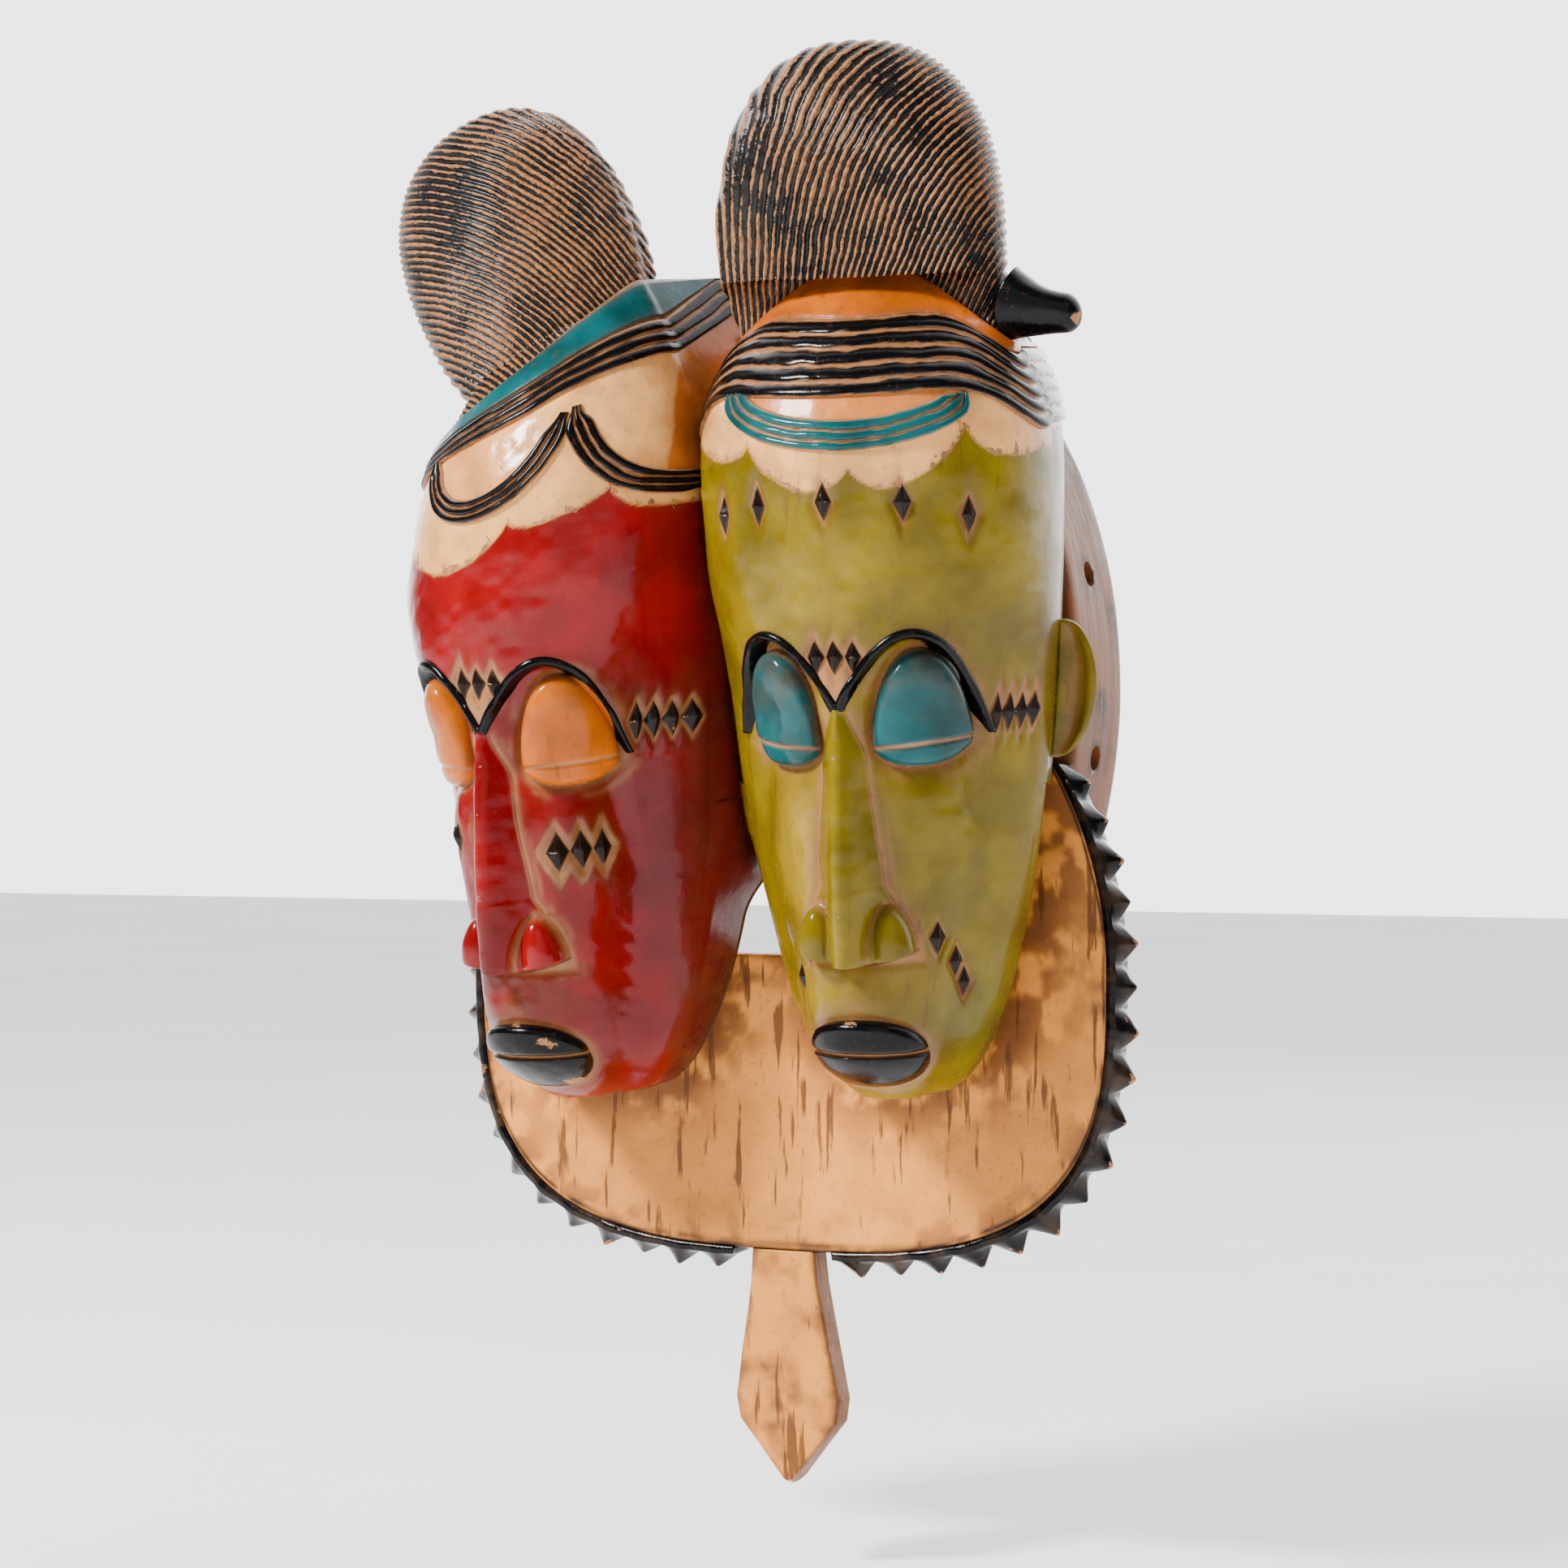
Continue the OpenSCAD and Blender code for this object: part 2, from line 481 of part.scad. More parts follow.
back_rim();
collar_plate();
pendant_tab();
tooth_border_left();
tooth_border_right();
red_head();
red_brow();
red_nose();
red_eyelids();
red_lips();
red_ear();
red_brow_lozenges();
red_temple_lozenges();
red_cheek_lozenges();
red_teal_band();
red_hair_ridges();
red_hair_loops();
red_coiffure();
olive_head();
olive_brow();
olive_nose();
olive_eyelids();
olive_lips();
olive_ear();
olive_forehead_lozenges();
olive_brow_lozenges();
olive_temple_lozenges();
olive_cheek_lozenges();
olive_orange_band();
olive_hair_ridges();
olive_teal_loops();
olive_coiffure();
olive_hair_horn();
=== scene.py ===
"""Looks of the carved twin-face mask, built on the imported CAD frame.

Lengths are millimetres in the CAD's frame until make_mesh turns them into metres. A head's own
frame has x to the viewer's right and z up from the middle of its forehead; angles run from its front.
"""
import math

import bmesh
import bpy
import numpy as np
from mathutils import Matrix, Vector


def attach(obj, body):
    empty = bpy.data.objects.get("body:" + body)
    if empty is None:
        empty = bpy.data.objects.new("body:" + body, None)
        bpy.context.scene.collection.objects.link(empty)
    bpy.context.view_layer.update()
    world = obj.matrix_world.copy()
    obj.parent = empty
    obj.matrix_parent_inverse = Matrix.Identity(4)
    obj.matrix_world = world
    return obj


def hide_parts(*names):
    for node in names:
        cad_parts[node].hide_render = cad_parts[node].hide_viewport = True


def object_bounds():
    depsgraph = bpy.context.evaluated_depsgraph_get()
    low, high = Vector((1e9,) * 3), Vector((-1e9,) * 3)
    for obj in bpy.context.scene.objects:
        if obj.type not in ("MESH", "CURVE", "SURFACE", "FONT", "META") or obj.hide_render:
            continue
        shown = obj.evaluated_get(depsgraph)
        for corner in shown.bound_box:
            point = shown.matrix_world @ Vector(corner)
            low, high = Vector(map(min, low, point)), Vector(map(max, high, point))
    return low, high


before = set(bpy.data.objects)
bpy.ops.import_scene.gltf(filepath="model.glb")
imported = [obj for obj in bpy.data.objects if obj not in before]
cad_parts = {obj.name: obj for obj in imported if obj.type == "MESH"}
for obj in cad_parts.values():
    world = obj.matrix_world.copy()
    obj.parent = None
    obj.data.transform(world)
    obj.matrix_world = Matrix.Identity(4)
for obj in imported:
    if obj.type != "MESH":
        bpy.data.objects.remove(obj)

cad_lo, cad_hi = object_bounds()
MM = 0.001

# ---------------------------------------------------------------- camera
CAMERA_AZIMUTH = 25.3
CAMERA_AIM = (-0.005, -0.040, -0.172)
CAMERA_DISTANCE = 1.25
CAMERA_LENS = 80.3

azimuth = math.radians(CAMERA_AZIMUTH)
camera_data = bpy.data.cameras.new("photo_camera")
camera_data.lens = CAMERA_LENS
camera_data.sensor_width = 36.0
camera = bpy.data.objects.new("photo_camera", camera_data)
camera.location = (CAMERA_AIM[0] + CAMERA_DISTANCE * math.sin(azimuth),
                   CAMERA_AIM[1] - CAMERA_DISTANCE * math.cos(azimuth), CAMERA_AIM[2])
camera.rotation_euler = (math.pi / 2, 0.0, azimuth)
bpy.context.scene.collection.objects.link(camera)
bpy.context.scene.camera = camera

# ---------------------------------------------------------------- sizes shared with the CAD
RIM_W, RIM_H, RIM_DEPTH, RIM_WALL, RIM_TOP_WALL, RIM_Z = 109.0, 150.0, 46.0, 13.0, 24.0, -138.0
HANG_HOLE_R, HANG_HOLE_DEPTH, SIDE_HOLE_R, SIDE_HOLE_Y = 4.0, 15.0, 4.4, -25.0
SIDE_HOLE_Z = {1: (-99.0, -163.0), -1: (-109.0, -173.0)}
PLATE_T, PLATE_W, PLATE_X, BRIDGE_Z = 13.0, 121.5, 3.0, -232.0
PLATE_WIDE_Z, PLATE_LOW, PLATE_HIGH, HORN_TOP_Z, EDGE_SQUARE = -236.0, 100.0, 130.0, -165.0, 3.1
TAB_NECK, TAB_WIDE, TAB_LEN, TAB_LEAN = 12.0, 20.0, 82.0, 0.03
TOOTH_COUNT, TOOTH_H, BAND_T = 17, 7.5, 2.5
HEAD_R, HEAD_LEAN, HEAD_TURN, HEAD_WALL = 59.7, math.radians(6.8), math.radians(6.1), 9.0
NOSE_H, SEAM_X, JAW_Z, STEP_Z = 17.0, -3.0, -209.0, -105.0
HOLLOW_Z = (-194.0, 28.0)
PLATE_FRONT = -(RIM_DEPTH + PLATE_T)

# ---------------------------------------------------------------- colours, linear
CRIMSON = (0.215, 0.0, 0.002)
OLIVE = (0.165, 0.112, 0.0)
TEAL = (0.0, 0.070, 0.074)
ORANGE = (0.52, 0.105, 0.0)
CREAM = (0.88, 0.43, 0.135)
PEACH = (0.78, 0.285, 0.045)
BLACK = (0.0015, 0.0015, 0.002)
WOOD = (0.40, 0.175, 0.068)
BROWN = (0.10, 0.032, 0.010)
RIM_BROWN = (0.13, 0.040, 0.012)
DARK = (0.02, 0.010, 0.006)
# Painted shade: a darker red for the lower right side of the red face.
RED_PAINTED_SHADE = (0.12, 0.002, 0.006)
# Painted light: a paler olive for the left cheek of the olive face.
OLIVE_PAINTED_LIGHT = (0.40, 0.24, 0.02)
# Painted shade: a darker olive for the lower right of the olive face.
OLIVE_PAINTED_SHADE = (0.13, 0.13, 0.012)
AMBER = (0.62, 0.15, 0.01)
WARM_CREAM = (0.75, 0.30, 0.09)
CREAM_STAIN = (0.45, 0.16, 0.045)
LIP_SHADE = (0.10, 0.04, 0.008)
# Colours that the lids turn towards near their tops.
TEAL_LID_TOP = (0.045, 0.045, 0.035)
ORANGE_LID_TOP = (0.42, 0.13, 0.01)
JAW_SMUDGE = (0.26, 0.085, 0.018)
EDGE_SMUDGE = (0.26, 0.095, 0.025)
TAB_SMUDGE = (0.24, 0.085, 0.022)
TAB_SIDE = (0.20, 0.08, 0.03)
TOOTH_DUST = (0.10, 0.055, 0.03)
HAIR_TAN = (0.38, 0.160, 0.055)
HAIR_BROWN = (0.17, 0.064, 0.021)
HAIR_BLACK = (0.004, 0.004, 0.004)
HAIR_SOOT = (0.016, 0.013, 0.011)
RIM_TAN = (0.24, 0.085, 0.028)
RIM_SCUFF = (0.36, 0.16, 0.06)
BURNT = (0.012, 0.008, 0.006)


# ---------------------------------------------------------------- numbers
def step01(u):
    t = np.clip(u, 0.0, 1.0)
    return t * t * (3.0 - 2.0 * t)


def bell(u):
    return np.exp(-u * u)


def lattice(ix, iy, iz, seed):
    """A fixed number from 0 to 1 for each whole-number point."""
    n = ix * 73856093 ^ iy * 19349663 ^ iz * 83492791 ^ seed * 2654435761
    n = (n ^ (n >> 13)) * 1274126177
    n = n ^ (n >> 16)
    return (n & 65535) / 65535.0


def noise(p, size, seed=1):
    """Smooth value noise from -1 to 1 at points p, with features of that size."""
    q = np.asarray(p, float) / size + 1000.0
    i = np.floor(q).astype(np.int64)
    f = q - i
    f = f * f * (3.0 - 2.0 * f)
    total = 0.0
    for dx, dy, dz in np.ndindex(2, 2, 2):
        weight = ((f[..., 0] if dx else 1 - f[..., 0]) * (f[..., 1] if dy else 1 - f[..., 1])
                  * (f[..., 2] if dz else 1 - f[..., 2]))
        total = total + weight * lattice(i[..., 0] + dx, i[..., 1] + dy, i[..., 2] + dz, seed)
    return total * 2.0 - 1.0


def rough_noise(p, size, seed=1):
    """Three octaves of noise."""
    return (noise(p, size, seed) + 0.5 * noise(p, size / 2.1, seed + 1)
            + 0.25 * noise(p, size / 4.3, seed + 2)) / 1.4


def flat_points(x, z):
    """Points for noise over a head's own x and z."""
    x, z = np.broadcast_arrays(x, z)
    return np.stack([x, np.zeros_like(x), z], -1)


def paint_mix(a, b, t):
    """Colour a turning to colour b where t is 1."""
    t = np.clip(np.asarray(t, float), 0, 1)[..., None]
    return np.asarray(a, float) * (1 - t) + np.asarray(b, float) * t


def shaded(paint, shade):
    """A colour over many points, brighter or darker by shade."""
    return np.asarray(paint) * (1 + shade)[..., None]


def distance(field, x, z):
    """About how far, in millimetres, a point lies outside the curve where field is 0."""
    d = 0.2
    f = field(x, z)
    gx = (field(x + d, z) - field(x - d, z)) / (2 * d)
    gz = (field(x, z + d) - field(x, z - d)) / (2 * d)
    return f / np.maximum(np.hypot(gx, gz), 0.03)


# ---------------------------------------------------------------- features of the carving template
def brow_z(x):
    u = np.clip((np.abs(x) - 1) / 48, 0, 1)
    return -74 + 23.5 * np.clip(np.sin(np.pi * u ** 1.05), 0, None) ** 0.85 - 11 * u ** 5


EYE_BASE, EYE_TOP, EYE_LOW = -86.0, 31.0, 8.5


def eye_field(middle, half):
    def field(x, z):
        u = np.abs(x - middle) / half
        above = u ** 2.2 + (np.maximum(z - EYE_BASE, 0) / EYE_TOP) ** 1.75 - 1
        below = u ** 2.2 + ((z - EYE_BASE) / EYE_LOW) ** 2 - 1
        return np.where(z > EYE_BASE, above, below)
    return field


MOUTH_W, MOUTH_Z, UPPER_LIP, LOWER_LIP = 18.5, -189.5, 12.0, 14.0


def mouth_field(x, z):
    tall = np.where(z > MOUTH_Z, UPPER_LIP, LOWER_LIP)
    return np.abs(x / MOUTH_W) ** 2.2 + np.abs((z - MOUTH_Z) / tall) ** 2 - 1


NOSE_BASE, WING_X, WING_W, WING_TALL = -158.5, 12.5, 7.4, 20.0


def nose_half(z):
    slim = 3 + 5.5 * step01((-74 - z) / 18) + 3 * step01((-95 - z) / 35) + 3 * step01((-132 - z) / 7)
    level = np.clip(1 - ((z - NOSE_BASE) / WING_TALL) ** 2, 0, 1)
    return np.maximum(slim, (WING_X + 0.8 + WING_W * np.sqrt(level)) * (level > 0))


def nose_field(x, z):
    return np.maximum(np.abs(x) - nose_half(z), np.maximum(z + 76, NOSE_BASE - z))


def arc_of(a):
    """Length round the face from its middle to angle a in degrees."""
    return HEAD_R * np.radians(a)


def lozenge_field(x0, z0, half_w, half_h):
    return lambda x, z: np.abs(x - x0) / half_w + np.abs(z - z0) / half_h - 1


def scallop_z(x, cusp_x, cusp_z, depth):
    """Height of a row of scallops that meet in cusps."""
    line = np.interp(x, cusp_x, cusp_z)
    k = np.clip(np.searchsorted(cusp_x, x) - 1, 0, len(depth) - 1)
    left, right = np.asarray(cusp_x)[k], np.asarray(cusp_x)[k + 1]
    t = np.clip((x - left) / (right - left), 0, 1)
    return line - np.asarray(depth)[k] * np.sin(np.pi * t) ** 0.6


# ---------------------------------------------------------------- a head
class Head:
    """The face surface of one head, and what is carved and painted on it."""

    def __init__(self, name, at, side, size, wide_z, chin, top, lean_in, cheek_cut, paint, eyes, lozenges):
        self.name, self.at, self.side, self.size = name, np.array(at, float), side, size
        self.wide_z, self.chin, self.top = wide_z, chin, top
        self.lean_in, self.cheek_cut, self.paint = lean_in, cheek_cut, paint
        self.eyes, self.lozenge_groups, self.lozenges = eyes, lozenges, sum(lozenges.values(), [])

    def radius(self, z):
        up = 1 - 0.5 * np.clip((z - self.wide_z) / self.top, 0, None) ** 2.5
        down = (1 - np.clip((self.wide_z - z) / self.chin, 0, 1) ** 1.8) ** 0.35
        return HEAD_R * np.where(z > self.wide_z, up, down)

    def middle(self, z):
        return self.lean_in * np.maximum(0, z - self.wide_z)

    def place(self, x, y, z):
        """From the head's own frame to the mask's frame."""
        x, y, z = np.broadcast_arrays(x * self.size, y * self.size, z * self.size)
        y, z = (y * math.cos(HEAD_LEAN) - z * math.sin(HEAD_LEAN),
                y * math.sin(HEAD_LEAN) + z * math.cos(HEAD_LEAN))
        c, s = math.cos(self.side * HEAD_TURN), math.sin(self.side * HEAD_TURN)
        return np.stack([x * c - y * s, x * s + y * c, z], -1) + self.at

    def keep_side(self, p, inset=0.0):
        """Neither head crosses the seam between them."""
        q = p.copy()
        if self.side > 0:
            q[..., 0] = np.maximum(q[..., 0], SEAM_X + inset)
        else:
            q[..., 0] = np.minimum(q[..., 0], SEAM_X - inset)
        return q

    def back_y(self, x, z, back):
        s = self.side * HEAD_TURN
        return (((back - self.at[1]) / self.size - math.sin(s) * x + math.cos(s) * math.sin(HEAD_LEAN) * z)
                / (math.cos(s) * math.cos(HEAD_LEAN)))

    def hair_cut_z(self, x):
        return 71 - 28 * (x / 46) ** 2 if self.side > 0 else 43 + 0.72 * x + 0.004 * x * x

    def cut_at(self, a):
        """Height of the hair line at angle a in degrees."""
        sine = np.sin(np.radians(a))
        z = self.hair_cut_z(45 * sine)
        z1 = self.hair_cut_z(self.middle(z) + self.radius(z) * sine)
        z2 = (z1 + self.hair_cut_z(self.middle(z1) + self.radius(z1) * sine)) / 2
        z3 = (z2 + self.hair_cut_z(self.middle(z2) + self.radius(z2) * sine)) / 2
        return (z3 + self.hair_cut_z(self.middle(z3) + self.radius(z3) * sine)) / 2

    def relief(self, x, z):
        """The CAD's own relief: sockets, cheek hollows and the swelling round the mouth."""
        return (-5 * bell((np.abs(x) - 25) / 15) * bell((z + 82) / 20)
                - 3 * bell((np.abs(x) - 24) / 16) * bell((z + 125) / 30)
                + 4 * bell(x / 20) * bell((z + 183) / 15))

    def carving(self, x, z, arc):
        """Finer carving that only the looks have: the ledge under the brows, halos and tool marks."""
        u = np.clip((np.abs(x) - 1) / 48, 0, 1)
        below = brow_z(x) - z
        ledge = 4.6 * step01(u / 0.25) * (1 - step01((u - 0.84) / 0.2))
        e = -ledge * step01(below / 1.8) * (1 - step01((below - 20) / 45))
        for middle, half in self.eyes:
            e = e - 1.3 * bell(distance(eye_field(middle, half), x, z) / 1.5)
        e = e + 3.6 * bell(x / 19) * bell((z + 172) / 13) + 2.4 * bell(x / 24) * bell((z + 192) / 17)
        e = e - 0.7 * bell(distance(mouth_field, x, z) / 1.6)
        e = e - 0.8 * bell(distance(nose_field, x, z) / 1.8)
        for lozenge in self.lozenges:
            e = e - 1.1 * bell(np.maximum(distance(lozenge_field(*lozenge[:4]), arc, z), 0) / 1.8)
        return e + 0.35 * noise(flat_points(x, z), 11, 3 + self.side) + 0.16 * noise(flat_points(x, z), 4, 9)

    def surface(self, a, z, e=0.0, carved=True):
        """A point of the face at angle a in degrees and height z, standing out by e."""
        a, z, e = np.broadcast_arrays(np.radians(a), np.asarray(z, float), np.asarray(e, float))
        r = self.radius(z)
        x = r * np.sin(a)
        turn = np.clip((np.abs(np.degrees(a)) - 58) / 38, -1, 1)
        cheek = (-self.cheek_cut * np.cos(np.pi / 2 * turn) ** 1.6
                 * step01((-20 - z) / 60) * (1 - 0.5 * step01((-150 - z) / 50)))
        d = e + self.relief(x, z) + cheek
        if carved:
            d = d + self.carving(x, z, HEAD_R * a) * step01((88 - np.abs(np.degrees(a))) / 8)
        flat = np.where(z > 10, 1 - 0.4 * ((z - 10) / 60) ** 2, 1.0)
        p = self.place(self.middle(z) + (r + d) * np.sin(a), -(r * flat + d) * np.cos(a), z)
        return self.keep_side(p, 0.0 if carved else 4.0)

    def at_x(self, x, z, e=0.0):
        """The same, given the distance x from the middle of the face."""
        x, z = np.broadcast_arrays(np.asarray(x, float), np.asarray(z, float))
        a = np.degrees(np.arcsin(np.clip(x / self.radius(z), -0.999, 0.999)))
        return self.surface(a, z, e)

    def at_arc(self, arc, z, e=0.0):
        """The same, given the length round the face from its middle."""
        return self.surface(np.degrees(arc / HEAD_R), z, e)

    def wall(self, side, z, s, inset, back):
        """A point of the side wall: s is 0 at the face and 1 at the back edge."""
        r = self.radius(z) - inset
        wide = np.where(side == self.side, r * (1 - 0.16 * s * s), r + 16 * s * step01((z + 150) / 35))
        x = self.middle(z) + side * wide
        return self.keep_side(self.place(x, s * self.back_y(x, z, back), z), 4.0 if inset > 0 else 0.0)

    def skin(self, a, z, e):
        """A point standing out by e from the face, or beyond 90 degrees from the side wall."""
        a, z, e = np.broadcast_arrays(np.asarray(a, float), np.asarray(z, float), np.asarray(e, float))
        p = self.surface(np.clip(a, -90, 90), z, e)
        s = np.clip((np.abs(a) - 90) / WALL_TURN, 0, 1)
        for side in (-1, 1):
            w = self.wall(side, z, s, 0.0, -RIM_DEPTH)
            w[..., 0] += side * e
            p = np.where((side * a > 90)[..., None], w, p)
        return p

    def across(self, p):
        """Distance sideways and upwards of mask points from the head, as seen from the camera's side."""
        d = p - self.at
        return d[..., 0] * math.cos(azimuth) + d[..., 1] * math.sin(azimuth), d[..., 2]

    def painted_distance(self, x, z):
        """Distance to the nearest carved feature."""
        d = distance(mouth_field, x, z)
        d = np.minimum(d, distance(nose_field, x, z))
        for middle, half in self.eyes:
            d = np.minimum(d, distance(eye_field(middle, half), x, z))
        return d

    def lozenge_distance(self, arc, z):
        """Distance outside the bare-wood patch of the nearest lozenge."""
        d = np.full(np.broadcast(arc, z).shape, 99.0)
        for x0, z0, half_w, half_h, patch in self.lozenges:
            d = np.minimum(d, distance(lozenge_field(x0, z0, half_w, half_h), arc, z) - patch)
        return d


RED_CUSPS = ((-48, 9.5, 39.5, 62), (-3, -2, 8, 6), (17, 6, 7))
OLIVE_CUSPS = ((-58, -28, 8, 42, 62), (18, 12.6, 4.4, 16, 12), (9, 12, 13, 9))


# A lozenge is its length round the face, z, half width, half height, and the width of bare wood round it.
def row_of(start, pitch, z, count, half_w, half_h, patch):
    return [(start + pitch * i, z, half_w, half_h, patch) for i in range(count)]


def singles(places, half_w, half_h, patch):
    return [(arc, z, half_w, half_h, patch) for arc, z in places]


RED_LOZENGES = {
    "brow": row_of(-6, 6.5, -57, 3, 3.0, 5.5, 2.0),
    "temple": row_of(63.5, 7.6, -74, 4, 3.7, 6.6, 1.2),
    "cheek": row_of(25, 10.0, -117, 3, 4.8, 6.8, 3.2) + row_of(-42.5, 8.6, -112, 3, 3.8, 6, 2.0),
}
OLIVE_LOZENGES = {
    "forehead": singles(((-45, -11), (-26, -8), (-1, -7), (25, -8), (48, -13)), 3.0, 6.5, 0.5),
    "brow": row_of(-6.6, 6.6, -57, 3, 3.1, 5.5, 2.0),
    "temple": row_of(67.5, 6.2, -79, 4, 3.0, 6.5, 1.4),
    "cheek": singles(((39, -152), (52, -161), (59, -168.5), (-29, -155), (-42, -166)), 5.2, 5.4, 0.9),
}

RED = Head("red", (-63.5, -98, -76), -1, 0.98, -45, 168, 112, 0.15, 11, CRIMSON,
           [(-26.5, 17.0), (29.5, 17.2)], RED_LOZENGES)
GREEN = Head("olive", (58, -98, -68), 1, 1.0, 0, 213, 60, 0.0, 7, OLIVE,
             [(-26.0, 17.5), (28.0, 17.5)], OLIVE_LOZENGES)


# ---------------------------------------------------------------- materials
class Graph:
    """A small helper that adds nodes and links them."""

    def __init__(self, name):
        self.material = bpy.data.materials.new(name)
        self.material.use_nodes = True
        self.tree = self.material.node_tree
        self.tree.nodes.clear()

    def add(self, kind, inputs=None, **settings):
        node = self.tree.nodes.new(kind)
        for key, value in settings.items():
            setattr(node, key, value)
        for key, value in (inputs or {}).items():
            if isinstance(value, bpy.types.NodeSocket):
                self.tree.links.new(value, node.inputs[key])
            else:
                node.inputs[key].default_value = value
        return node

    def noise(self, scale, detail=3.0, stretch=None, roughness=0.55):
        vector = self.add("ShaderNodeTexCoord").outputs["Object"]
        if stretch:
            vector = self.add("ShaderNodeMapping", {"Vector": vector, "Scale": stretch}).outputs["Vector"]
        return self.add("ShaderNodeTexNoise", {"Vector": vector, "Scale": scale, "Detail": detail,
                                               "Roughness": roughness}).outputs["Fac"]

    def attribute(self, name, output="Fac"):
        return self.add("ShaderNodeAttribute", attribute_name=name).outputs[output]

    def math(self, operation, a, b=0.0):
        return self.add("ShaderNodeMath", {0: a, 1: b}, operation=operation).outputs[0]

    def ramp(self, value, low, high, to_low=0.0, to_high=1.0):
        return self.add("ShaderNodeMapRange", {"Value": value, "From Min": low, "From Max": high,
                                               "To Min": to_low, "To Max": to_high},
                        interpolation_type="SMOOTHSTEP").outputs["Result"]

    def mix(self, factor, a, b, blend="MIX"):
        node = self.add("ShaderNodeMix", data_type="RGBA", blend_type=blend)
        for index, value in ((0, factor), (6, a), (7, b)):
            if isinstance(value, bpy.types.NodeSocket):
                self.tree.links.new(value, node.inputs[index])
            elif index == 0:
                node.inputs[index].default_value = value
            else:
                node.inputs[index].default_value = (*value, 1.0)
        return node.outputs[2]

    def finish(self, color, rough, height, strength, depth, coat=0.0, coat_rough=0.03, shine=0.5):
        """The shader, with a bump of that strength and depth in metres."""
        bump = self.add("ShaderNodeBump", {"Strength": strength, "Distance": depth, "Height": height})
        shader = self.add("ShaderNodeBsdfPrincipled", {
            "Base Color": color, "Roughness": rough, "Normal": bump.outputs["Normal"],
            "Coat Weight": coat, "Coat Roughness": coat_rough, "Specular IOR Level": shine})
        self.add("ShaderNodeOutputMaterial", {"Surface": shader.outputs[0]})
        return self.material


def paint_material(name, gloss, chips, scratches, mottle, coat, streaks=0.63, shine=0.16):
    """Old varnished paint on wood: it takes its colour, wear and grime from the mesh."""
    g = Graph(name)
    tint = g.attribute("tint", "Color")
    wear = g.attribute("wear")
    grime = g.attribute("grime")
    cloud = g.noise(45, 4)
    speck = g.noise(520, 3)
    fine = g.noise(1500, 2)
    grain = g.noise(260, 3, stretch=(1.0, 1.0, 0.12))
    shade = g.ramp(cloud, 0.3, 0.7, 1 - mottle, 1 + 0.5 * mottle)
    color = g.mix(1.0, tint, g.add("ShaderNodeCombineColor", {0: shade, 1: shade, 2: shade}).outputs[0],
                  "MULTIPLY")
    dust = g.ramp(speck, 0.60, 0.74)
    color = g.mix(g.math("MULTIPLY", dust, 0.35), color, BROWN)
    darkening = g.math("MULTIPLY", grime, g.ramp(g.noise(110, 5), 0.25, 0.7, 0.35, 1.0))
    color = g.mix(darkening, color, BROWN)
    streak = g.ramp(grain, streaks, streaks + 0.08)
    color = g.mix(g.math("MULTIPLY", streak, scratches), color, BROWN)
    chip_noise = g.math("ADD", g.math("MULTIPLY", g.noise(190, 5, roughness=0.65), 0.75),
                        g.math("MULTIPLY", speck, 0.25))
    chip_level = g.math("SUBTRACT", 0.86 - 0.1 * chips, g.math("MULTIPLY", wear, 0.5))
    chip = g.ramp(g.math("SUBTRACT", chip_noise, chip_level), -0.01, 0.02)
    bare = g.mix(g.ramp(grain, 0.35, 0.7), WOOD, tuple(0.55 * v for v in WOOD))
    color = g.mix(chip, color, bare)
    rough = g.ramp(g.noise(80, 4), 0.3, 0.7, gloss * 0.75, gloss * 1.4)
    rough = g.math("ADD", rough, g.math("MULTIPLY", g.math("MAXIMUM", chip, darkening), 0.28))
    height = g.math("ADD", g.math("MULTIPLY", g.noise(170, 4), 0.5), g.math("MULTIPLY", fine, 0.05))
    height = g.math("ADD", height, g.math("MULTIPLY", grain, 0.10))
    height = g.math("SUBTRACT", height, g.math("MULTIPLY", chip, 0.35))
    return g.finish(color, rough, height, 0.55, 0.0009, coat, 0.09, shine)


def hair_material(name):
    """Grooved hair: black in the grooves, worn to wood on the ridges. The mesh carries the groove phase."""
    g = Graph(name)
    phase = g.attribute("phase")
    wobble = g.math("MULTIPLY", g.math("SUBTRACT", g.noise(300, 3), 0.5), 0.45)
    turn = g.math("MULTIPLY", g.math("ADD", phase, wobble), math.tau)
    wave = g.math("ADD", g.math("MULTIPLY", g.math("COSINE", turn), 0.5), 0.5)
    wear = g.attribute("wear")
    patch = g.noise(75, 5, roughness=0.65)
    nick = g.noise(420, 4, roughness=0.7)
    level = g.math("ADD", g.math("MULTIPLY", patch, 1.7), g.math("MULTIPLY", nick, 1.1))
    level = g.math("SUBTRACT", 2.32, g.math("ADD", level, g.math("MULTIPLY", wear, 0.55)))
    worn = g.ramp(g.math("SUBTRACT", wave, level), -0.05, 0.10)
    grain = g.noise(700, 3)
    tan = g.mix(g.ramp(grain, 0.3, 0.7), HAIR_TAN, HAIR_BROWN)
    black = g.mix(g.ramp(nick, 0.35, 0.65), HAIR_BLACK, HAIR_SOOT)
    color = g.mix(worn, black, tan)
    rough = g.ramp(worn, 0.0, 1.0, 0.24, 0.5)
    height = g.math("ADD", wave, g.math("MULTIPLY", grain, 0.25))
    height = g.math("SUBTRACT", height, g.math("MULTIPLY", worn, 0.12))
    return g.finish(color, rough, height, 0.8, 0.0008, 0.05, 0.2, 0.25)


